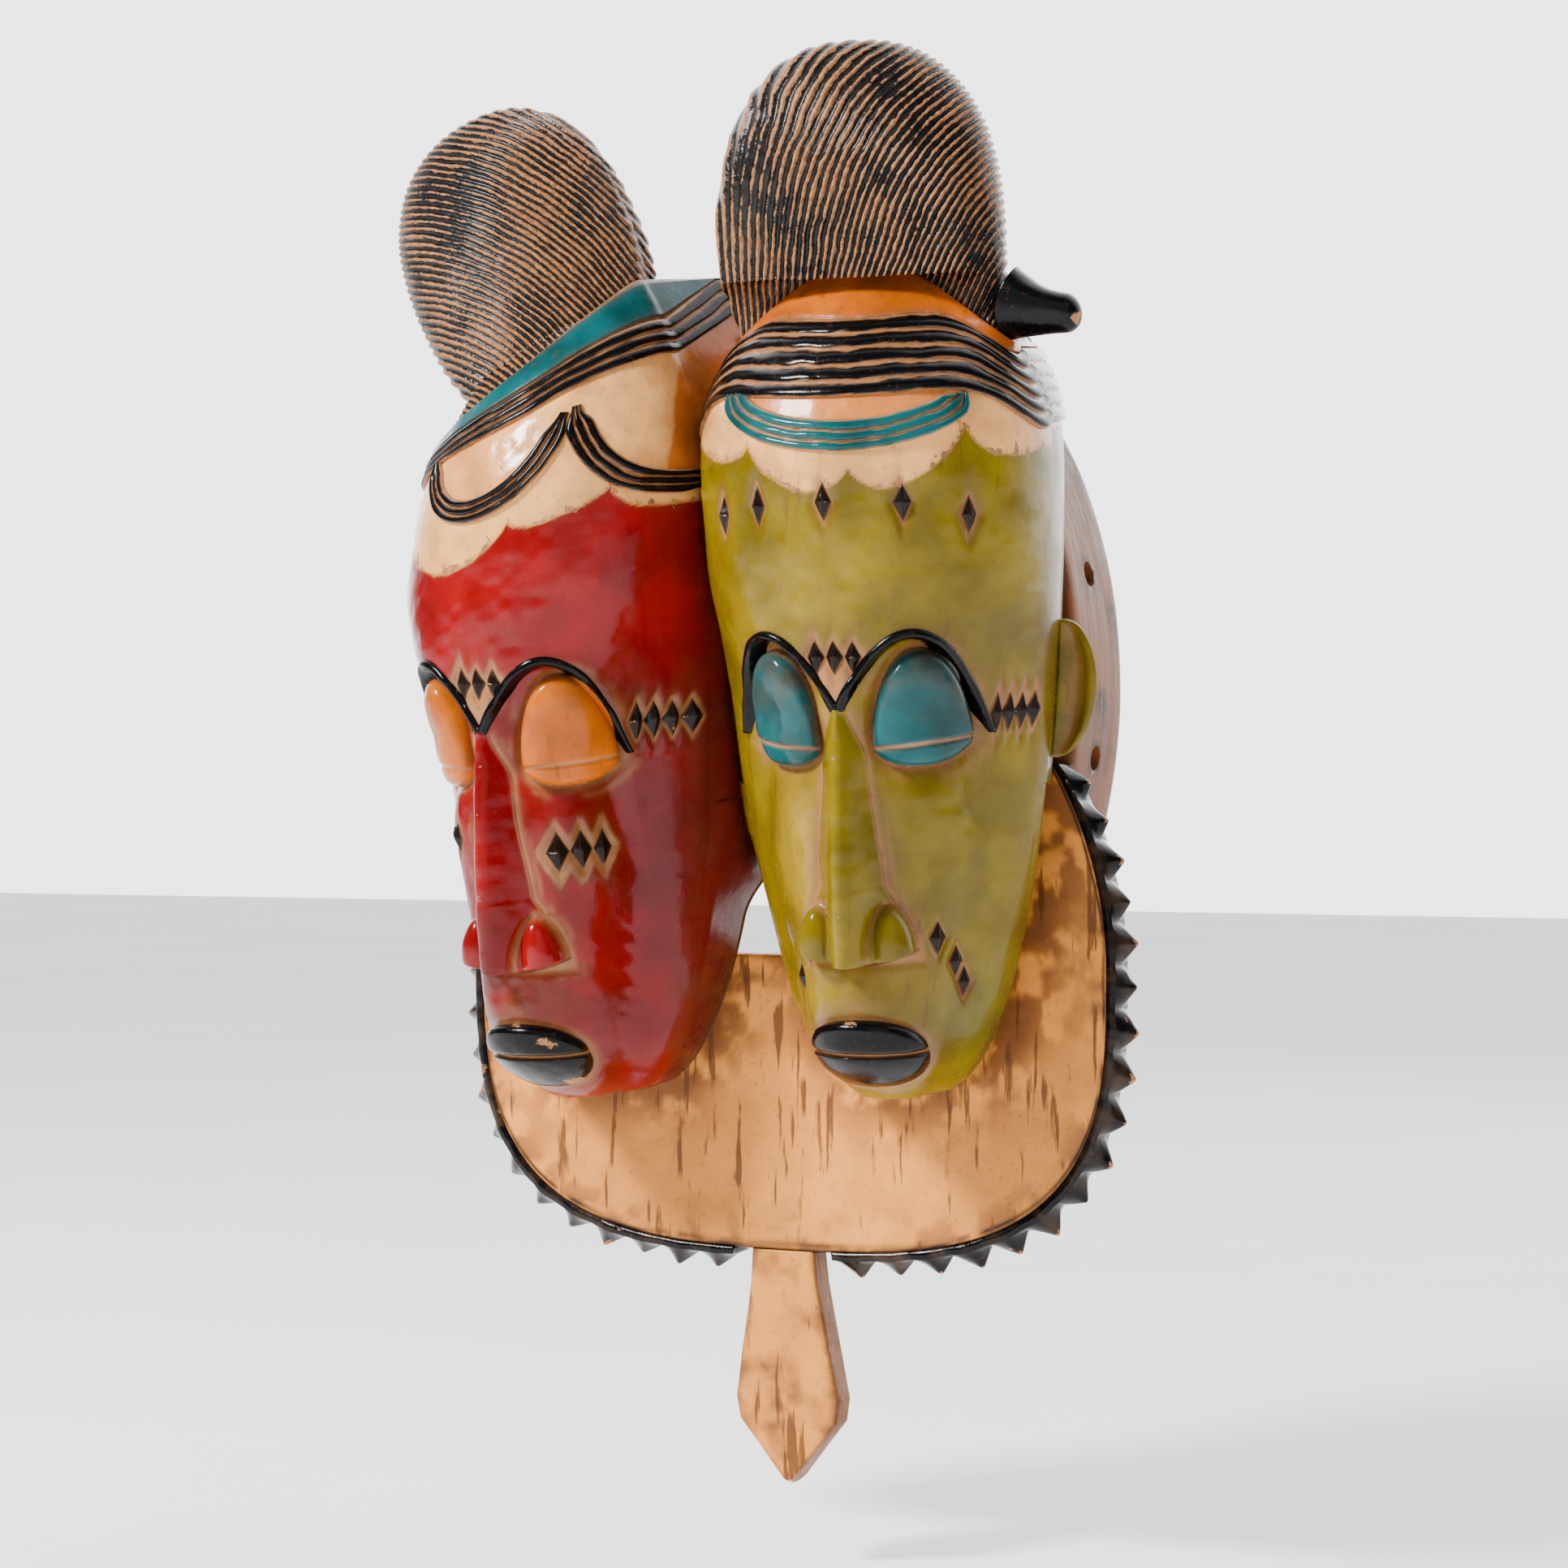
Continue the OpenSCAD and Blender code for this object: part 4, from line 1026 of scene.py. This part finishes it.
def groove_phase(head, p):
    """Groove number at mask points p: grooves leave the hair line and bend over to the back."""
    sideways, up = head.across(p)
    if head is RED:
        x, z = 59 + 0.98 * sideways, 0.98 * up - 144
        reach = z * (1 - 0.0028 * x) + 0.00425 * x * x - 0.008 * x
        pitch = 2.45
    else:
        x, z = 62 + 1.06 * sideways, 1.06 * up - 73
        reach = x * (1 - 0.0075 * z) - 0.00185 * z * z + 0.13 * z
        pitch = 2.6
    flat = flat_points(x, z)
    return reach / pitch + 0.32 * noise(flat, 22, 17) + 0.14 * noise(flat, 7, 19)


FRONT_COLS, BACK_COLS, COIF_ROWS = 280, 110, 200


def coiffure(head):
    c = COIFFURES[head.name]
    count = FRONT_COLS + BACK_COLS
    gap = 2.6
    front = np.linspace(180 + gap, 360 - gap, FRONT_COLS)
    back = np.linspace(gap, 180 - gap, BACK_COLS)
    theta = np.radians(np.concatenate([front, back]))
    angle_front = np.linspace(c["foot"][0], c["foot"][1], FRONT_COLS)
    angle_back = np.linspace(c["foot"][1], c["foot"][0], BACK_COLS)

    def foot(a, f):
        z = head.cut_at(a)
        near = head.surface(a, z, carved=False)
        r = head.radius(z)
        x = r * np.sin(np.radians(a))
        x = np.where(np.sign(x) == head.side, 0.84 * x, x) + head.middle(z)
        end = head.place(x, head.back_y(x, z, -RIM_DEPTH), z)
        return (1 - f) * near + f * end

    base = np.concatenate([foot(angle_front, 0.04), foot(angle_back, 0.62)])
    tilt = math.radians(c["tilt"])
    size = c["size"]

    def loop(phi):
        w = np.cos(phi) ** 0.85
        up = np.sign(phi) * np.abs(np.sin(phi)) ** 0.85
        sx, sz = size[0] * w * np.cos(theta), size[2] * up
        return head.place(c["mid"][0] + sx * math.cos(tilt) - sz * math.sin(tilt),
                          c["mid"][1] + size[1] * w * np.sin(theta),
                          c["mid"][2] + sx * math.sin(tilt) + sz * math.cos(tilt))

    first = loop(math.radians(c["start"]))
    rows = [base * (1 - u) + first * u for u in np.linspace(0, 1, 26)[:-1]]
    turn = np.linspace(0, 1, COIF_ROWS - 25) ** 0.93
    rows += [loop(math.radians(c["start"] + (88.5 - c["start"]) * u)) for u in turn]
    p = np.array(rows)
    # The front swells out gently from the hair line.
    rise = np.clip(np.linalg.norm(p - base[None], axis=-1) / 42, 0, 1) ** 0.55
    is_front = np.arange(count) < FRONT_COLS
    swell = np.where(is_front[None], rise, 1.0)
    p[..., 1] = base[None, :, 1] * (1 - swell) + p[..., 1] * swell
    local = (p - head.at) / head.size
    phase = groove_phase(head, p)
    lx, lz = local[..., 0], local[..., 2]
    normal = np.cross(np.gradient(p, axis=1), np.gradient(p, axis=0))
    normal /= np.maximum(np.linalg.norm(normal, axis=-1, keepdims=True), 1e-9)
    centre = p.mean(axis=(0, 1))
    outward = np.sign((normal * (p - centre)).sum(-1).mean())
    fade = step01(np.linspace(0, COIF_ROWS, len(p)) / 8)[:, None]
    depth = 0.42 * (np.cos(math.tau * phase) - 1) * fade + 0.35 * noise(p, 16, 23)
    p = p + outward * normal * depth[..., None]
    wear = 0.40 + 0.60 * rough_noise(p, 26, 29) + 0.25 * bell((lx - 5) / 22) * bell((lz - 95) / 30)
    if head is RED:
        wear = wear + 0.15 * step01((lx + 30) / 40)
    make_mesh(head.name + "_coiffure_carved", head.name + "_coiffure", "hair_wood", p,
              tube_faces(len(p), count), wear=np.clip(wear, 0, 1), phase=phase)


def horn():
    """Glossy hair lock with a blunt, chipped tip."""
    rows, count = 60, 56
    u = np.linspace(0, 1, rows)[:, None]
    t = np.linspace(0, math.tau, count, endpoint=False)[None]
    r = 12.2 * (1 - 0.50 * u ** 0.75) * np.sqrt(np.clip(1 - np.clip((u - 0.80) / 0.2, 0, 1) ** 2, 0.003, 1))
    dip = 1.6 * np.sin(math.pi * np.clip(u, 0, 1)) * (np.sin(t) > 0) * np.sin(t)
    y = 0.9 * r * np.cos(t)
    z = 54 - 4.0 * u + (r - dip) * np.sin(t)
    root = (46 + 5 * step01((z - 45) / 31)) * np.sqrt(np.clip(1 - (y / 36) ** 2, 0, 1))
    x = root * (1 - u) + 71.0 * u
    p = GREEN.place(x, y, z)
    p = p + 0.25 * noise(p, 7, 41)[..., None]
    wear = 0.05 + 0.75 * step01((u - 0.78) / 0.2) * bell((np.sin(t) + 0.3) / 0.8) + 0 * t
    make_mesh("olive_hair_horn_carved", "olive_hair_horn", "black_paint", p,
              tube_faces(rows, count), BLACK, wear)


# ---------------------------------------------------------------- plate, tab, teeth and rim
HORN_ANGLE = math.asin((HORN_TOP_Z - PLATE_WIDE_Z) / PLATE_HIGH)
EDGE_SPLIT = 0.76


def edge_point(u, grow):
    """Outer edge of the plate: u is 0 at the bottom and 1 at a horn's top."""
    u = np.asarray(u, float)
    t = np.radians(0.4 + 89.6 * np.clip(u / EDGE_SPLIT, 0, 1))
    low = np.stack([(PLATE_W + grow) * np.sin(t) ** (2 / EDGE_SQUARE),
                    PLATE_WIDE_Z - (PLATE_LOW + grow) * np.cos(t) ** (2 / EDGE_SQUARE)], -1)
    t = HORN_ANGLE * np.clip((u - EDGE_SPLIT) / (1 - EDGE_SPLIT), 0, 1)
    high = np.stack([(PLATE_W + grow) * np.cos(t), PLATE_WIDE_Z + PLATE_HIGH * np.sin(t)], -1)
    return np.where((u < EDGE_SPLIT)[..., None], low, high)


EDGE_U = np.linspace(0, 1, 401)
EDGE_RUN = np.concatenate([[0], np.cumsum(np.hypot(*np.diff(edge_point(EDGE_U, 0.0), axis=0).T))])


def edge_at(run, grow):
    return edge_point(np.interp(run, EDGE_RUN, EDGE_U), grow)


def inner_edge(u):
    """Inner edge of the plate: u is 0 at the middle of the bridge and 1 at a horn's top."""
    t = (1 - np.clip((u - 0.30) / 0.70, 0, 1)) * math.pi / 2
    x = np.where(u < 0.30, u / 0.30 * 76, 94 - 18 * np.sin(t) ** 2)
    z = np.where(u < 0.30, BRIDGE_Z, HORN_TOP_Z + (BRIDGE_Z - HORN_TOP_Z) * np.sin(t))
    return np.stack([x, z], -1)


def jaw_distance(x, z):
    """Distance on the plate's face from the two jaws that stand on it."""
    d = 99.0
    for head in (RED, GREEN):
        lowest = head.place(0, 0, JAW_Z)
        up = (z - head.at[2]) / head.size
        wide = head.radius(np.clip(up, JAW_Z, 0)) + 3
        d = np.minimum(d, np.hypot(np.maximum(np.abs(x - lowest[0]) - wide, 0), np.maximum(lowest[2] - z, 0)))
    return d


def collar_plate():
    columns, inner_rows = 300, 56
    s = np.linspace(-1, 1, columns)
    run = np.abs(s) * EDGE_RUN[-1]
    outer = edge_at(run, 0.0)
    outer[:, 0] = np.where(s < 0, -outer[:, 0], outer[:, 0])
    inner = inner_edge(np.abs(s))
    inner[:, 0] = np.where(s < 0, -inner[:, 0], inner[:, 0])
    rounding = np.array([0, 0.004, 0.012, 0.024])
    t = np.concatenate([rounding, np.linspace(0.04, 0.96, inner_rows), [0.976, 0.988, 0.996, 1]])
    flat = outer[None] * (1 - t[:, None, None]) + inner[None] * t[:, None, None]
    width = np.linalg.norm(outer - inner, axis=-1)[None]
    edge = np.minimum(t, 1 - t)[:, None] * width
    roll = 1.4 * (1 - np.sqrt(np.clip(1 - (1 - np.clip(edge / 1.4, 0, 1)) ** 2, 0, 1)))
    x, z = flat[..., 0] + PLATE_X, flat[..., 1]
    p = flat_points(x, z)
    relief = 0.35 * noise(p, 24, 2) + 0.12 * noise(p, 6, 4)
    front = np.stack([x, PLATE_FRONT + roll + 0.3 - 0.3 * relief, z], -1)
    back = np.stack([x, -RIM_DEPTH - roll * 0.5 + 0 * x, z], -1)
    wobble = rough_noise(p, 8, 51)
    jaws = jaw_distance(x, z)
    from_edge = t[:, None] * width
    line = bell((from_edge - 1.9 - 0.5 * noise(p, 20, 8)) / 0.7)
    line = line * step01((rough_noise(p, 12, 61) + 0.75) / 0.5)
    tint = shaded(PEACH, 0.10 * rough_noise(p, 40, 71))
    tint = paint_mix(tint, JAW_SMUDGE, 0.95 * bell(jaws / 17) * step01((wobble + 0.45) / 0.5))
    tint = paint_mix(tint, EDGE_SMUDGE, 0.85 * bell(from_edge / 12) * step01((wobble + 0.15) / 0.45))
    tint = paint_mix(tint, BLACK, np.clip(line + bell(from_edge / 0.9), 0, 1))
    grime = 0.5 * bell(np.maximum(jaws, 0) / 8) * np.clip(0.5 + wobble, 0, 1)
    grime = grime + 0.35 * np.clip(rough_noise(p, 14, 81) - 0.25, 0, 1)
    Patches().add(front, back, tint, 0.12, np.clip(grime, 0, 1)).build("collar_plate", "peach_paint")


def tab_half(d):
    """Half width of the tab at distance d below the plate."""
    return np.interp(d, (0, 12, 52, 60, TAB_LEN), (TAB_NECK, TAB_NECK + 1, TAB_WIDE, TAB_WIDE - 1.4, 0.4))


def pendant_tab():
    rows, count = 90, 72
    d = np.linspace(0, TAB_LEN, rows)[:, None]
    half = tab_half(d)
    ux, uy = rounded_square(count, 9.0)
    x = PLATE_X + TAB_LEAN * d + half * ux
    y = -RIM_DEPTH - PLATE_T / 2 + PLATE_T / 2 * uy * np.minimum(1, 0.45 + (TAB_LEN - d) / 3) + 0 * x
    z = PLATE_WIDE_Z - PLATE_LOW - d + 0 * x
    points = np.stack([x, y, z], -1)
    p = flat_points(x, z)
    points[..., 1] -= 0.25 * noise(p, 12, 7) * (uy < 0)
    wobble = rough_noise(p, 9, 91)
    tint = shaded(PEACH, 0.12 * wobble)
    side = step01((np.abs(ux) - 0.94) / 0.05) + 0 * x
    rim = step01((np.abs(ux) - 0.72) / 0.25) + 0 * x
    tint = paint_mix(tint, TAB_SMUDGE, np.clip(0.65 * rim + 1.1 * (wobble - 0.05), 0, 0.9))
    tint = paint_mix(tint, TAB_SIDE, 0.85 * side)
    make_mesh("pendant_tab_carved", "pendant_tab", "peach_paint", points, tube_faces(rows, count), tint,
              0.15 + 0.35 * rim, 0.45 * side + 0.3 * np.clip(wobble, 0, 1))


def tooth_border(side, name):
    """A strip of pyramids along one half of the plate's edge."""
    first = TAB_NECK + 2
    pitch = (EDGE_RUN[-1] - first) / TOOTH_COUNT
    per_tooth, ring = 22, 25
    k = np.arange(TOOTH_COUNT * per_tooth + 1)
    s = first + pitch * k / per_tooth
    inside, outside, peak = edge_at(s, -0.6), edge_at(s, BAND_T), edge_at(s, BAND_T + TOOTH_H)
    saw = 1 - np.abs(2 * ((k / per_tooth) % 1.0) - 1)
    which = k // per_tooth
    size = 0.94 + 0.09 * np.sin(which * 2.7 + side) + 0.05 * np.sin(which * 5.1)
    saw = np.minimum(saw, 0.95) * size
    q = np.linspace(0, 1, ring)
    tent = np.minimum(1 - np.abs(2 * q - 1), 0.93)
    height = np.minimum(saw[:, None], 1.0)[..., None] * tent[None, :, None]
    reach = outside[:, None] + (peak - outside)[:, None] * height
    y = -RIM_DEPTH - 0.2 - (PLATE_T - 0.4) * q
    y = np.broadcast_to(y[None, :, None], (*reach.shape[:2], 1))
    top = np.concatenate([reach[..., :1] * side + PLATE_X, y, reach[..., 1:]], -1)
    root = np.broadcast_to(inside[:, None], reach.shape)
    bottom = np.concatenate([root[..., :1] * side + PLATE_X, y, root[..., 1:]], -1)
    level = np.minimum(saw[:, None], tent[None])
    crest = np.maximum(bell((saw[:, None] - tent[None]) / 0.09) * 0.8, bell((1 - level - 0.05) / 0.08))
    tip = step01((level - 0.72) / 0.2)
    top = top + 0.22 * noise(top, 5, 33)[..., None]
    wear = np.clip(0.20 + 0.55 * crest * tip + 0.45 * tip + 0.35 * rough_noise(top, 14, 43), 0, 1)
    tint = paint_mix(BLACK, TOOTH_DUST, 0.5 * np.clip(rough_noise(top, 7, 53) + 0.2, 0, 1))
    if side > 0:
        top, bottom, tint, wear = top[:, ::-1], bottom[:, ::-1], tint[:, ::-1], wear[:, ::-1]
    Patches().add(top, bottom, tint, wear).build(name, "black_paint")


def cutter(radius, depth, location, rotation):
    bpy.ops.mesh.primitive_cylinder_add(vertices=40, radius=radius * MM, depth=depth * MM,
                                        location=[v * MM for v in location], rotation=rotation)
    return bpy.context.object


def back_rim():
    """Oval ring with rounded edges, a hanging hole in its back and two burnt holes in each side."""
    around, ring = 320, 64
    t = np.linspace(0, math.tau, around, endpoint=False)[:, None]
    ux, uy = rounded_square(ring, 10.0)
    across, deep = (ux + 1) / 2, (uy + 1) / 2
    rx = RIM_W - RIM_WALL * (1 - across)
    rz = RIM_H - RIM_TOP_WALL * (1 - across)
    x, z = rx * np.cos(t), RIM_Z + rz * np.sin(t)
    y = -RIM_DEPTH * deep + 0 * x
    points = np.stack([x, y, z], -1)
    outward = np.stack([np.cos(t) + 0 * x, 0 * x, np.sin(t) + 0 * x], -1)
    points = points - 0.3 * np.clip(noise(points, 18, 5), 0, 1)[..., None] * outward
    grime = 0.5 * np.clip(rough_noise(points, 30, 15) + 0.1, 0, 1)
    for side, heights in SIDE_HOLE_Z.items():
        for zh in heights:
            hole = np.hypot(y - SIDE_HOLE_Y, z - zh)
            grime = np.maximum(grime, bell(np.maximum(hole - SIDE_HOLE_R, 0) / 2.4) * (side * x > 0))
    faces = grid_faces(around, ring, wrap=True)
    last = (around - 1) * ring
    faces += [[last + j, last + (j + 1) % ring, (j + 1) % ring, j] for j in range(ring)]
    rim = make_mesh("back_rim_carved", "back_rim", "rim_wood", points, faces, None, 0.0, grime.ravel())
    cutters = [cutter(HANG_HOLE_R, 2 * HANG_HOLE_DEPTH, (0, 0, 0), (math.pi / 2, 0, 0))]
    cutters += [cutter(SIDE_HOLE_R, 60, (side * (RIM_W - 6), SIDE_HOLE_Y, zh), (0, math.pi / 2, 0))
                for side, heights in SIDE_HOLE_Z.items() for zh in heights]
    for obj in cutters:
        obj.data.materials.append(MATERIALS["rim_wood"])
        layer = obj.data.attributes.new("grime", "FLOAT", "POINT")
        layer.data.foreach_set("value", [1.0] * len(obj.data.vertices))
        cut = rim.modifiers.new("hole", "BOOLEAN")
        cut.operation, cut.object, cut.solver = "DIFFERENCE", obj, "EXACT"
    bpy.context.view_layer.update()
    depsgraph = bpy.context.evaluated_depsgraph_get()
    drilled = bpy.data.meshes.new_from_object(rim.evaluated_get(depsgraph))
    rim.modifiers.clear()
    rim.data = drilled
    for obj in cutters:
        bpy.data.objects.remove(obj, do_unlink=True)


# ---------------------------------------------------------------- build
def red_teal_depth(a):
    return (5 + 9 * step01((a + 45) / 60)) * np.clip(1 - (a - 90) / 30, 0.02, 1)


def red_ridge_depth(a):
    return (13 + 13 * step01((a + 45) / 60)) * np.clip(1 - (a - 90) / 62, 0.03, 1)


def olive_orange_depth(a):
    return 2 + 18 * np.clip(np.cos(np.radians(a)), 0, None) ** 0.8


def nothing(a):
    return 0 * a


for head in (RED, GREEN):
    head_skin(head)
    brow(head)
    nose(head)
    lips(head)
    ear(head)
    coiffure(head)

eyelids(RED, "orange_paint", ORANGE)
eyelids(GREEN, "teal_paint", TEAL)
for head in (RED, GREEN):
    for place, lozenges in head.lozenge_groups.items():
        lozenge_set(head, f"{head.name}_{place}_lozenges", lozenges)

hair_band(RED, "red_teal_band", "teal_paint", -96, 142, nothing, red_teal_depth, flat_band(TEAL, 1.3))
hair_band(RED, "red_hair_ridges", "black_paint", -96, 142, red_teal_depth, red_ridge_depth,
          ridges(3, RIDGE_H, BLACK))
hair_band(GREEN, "olive_orange_band", "orange_paint", -87, 146, nothing, olive_orange_depth,
          flat_band(ORANGE, 1.0))
hair_band(GREEN, "olive_hair_ridges", "black_paint", -100, 146, olive_orange_depth,
          lambda a: olive_orange_depth(a) + 25, ridges(5, RIDGE_H, BLACK), rows=61)

loops = Patches()
loop_band(RED, loops,
          lambda u: (-5 - 25 * np.cos(np.pi * u), 20 - 21 * np.sin(np.pi * u) + 14 * u * u), 8, BLACK)
loop_band(RED, loops, lambda u: (23 + 34 * u, 36 - 31 * np.sin(np.pi / 2 * u ** 0.8) + 3 * u), 8, BLACK)
loops.build("red_hair_loops", "black_paint")
loops = Patches()
loop_band(GREEN, loops, lambda u: (2 - 38 * np.cos(np.pi * u), 30 - 14 * np.sin(np.pi * u) - 4 * u), 10, TEAL)
loops.build("olive_teal_loops", "teal_paint")

horn()
collar_plate()
pendant_tab()
tooth_border(-1, "tooth_border_left")
tooth_border(1, "tooth_border_right")
back_rim()

# ---------------------------------------------------------------- floor and light
FLOOR_GAP = 0.03
bpy.ops.mesh.primitive_plane_add(size=12.0, location=(0.0, 0.0, cad_lo.z - FLOOR_GAP))
floor = bpy.context.object
floor.name = "floor"
floor.data.materials.append(floor_material("floor_plain"))


def area_light(name, location, size, power, color=(1.0, 1.0, 1.0)):
    """A soft square light that faces the middle of the mask."""
    data = bpy.data.lights.new(name, "AREA")
    data.size, data.energy, data.color = size, power, color
    light = bpy.data.objects.new(name, data)
    light.location = location
    aim = camera.location.copy()
    aim.x, aim.y, aim.z = CAMERA_AIM
    light.rotation_euler = (aim - light.location).to_track_quat("-Z", "Y").to_euler()
    bpy.context.scene.collection.objects.link(light)


area_light("key", (-0.80, -1.20, 0.95), 0.34, 72)
area_light("fill", (1.0, -1.5, 0.5), 1.6, 5)
area_light("back_fill", (0.3, 1.5, 0.8), 1.5, 14)

# A pale studio: bright behind the mask, dimmer in front of it.
world = bpy.data.worlds.new("pale_studio")
world.use_nodes = True
sky = world.node_tree
direction = sky.nodes.new("ShaderNodeTexCoord")
axes = sky.nodes.new("ShaderNodeSeparateXYZ")
level = sky.nodes.new("ShaderNodeMapRange")
level.interpolation_type = "SMOOTHSTEP"
high = sky.nodes.new("ShaderNodeMath")
high.operation, high.inputs[1].default_value = "MULTIPLY", 0.5
both = sky.nodes.new("ShaderNodeMath")
for socket, value in (("From Min", 0.30), ("From Max", 0.78), ("To Min", 0.19), ("To Max", 3.6)):
    level.inputs[socket].default_value = value
sky.links.new(direction.outputs["Generated"], axes.inputs[0])
sky.links.new(axes.outputs["Z"], high.inputs[0])
sky.links.new(axes.outputs["Y"], both.inputs[0])
sky.links.new(high.outputs[0], both.inputs[1])
sky.links.new(both.outputs[0], level.inputs["Value"])
sky.links.new(level.outputs["Result"], sky.nodes["Background"].inputs["Strength"])
sky.nodes["Background"].inputs["Color"].default_value = (0.97, 0.98, 1.0, 1.0)
bpy.context.scene.world = world
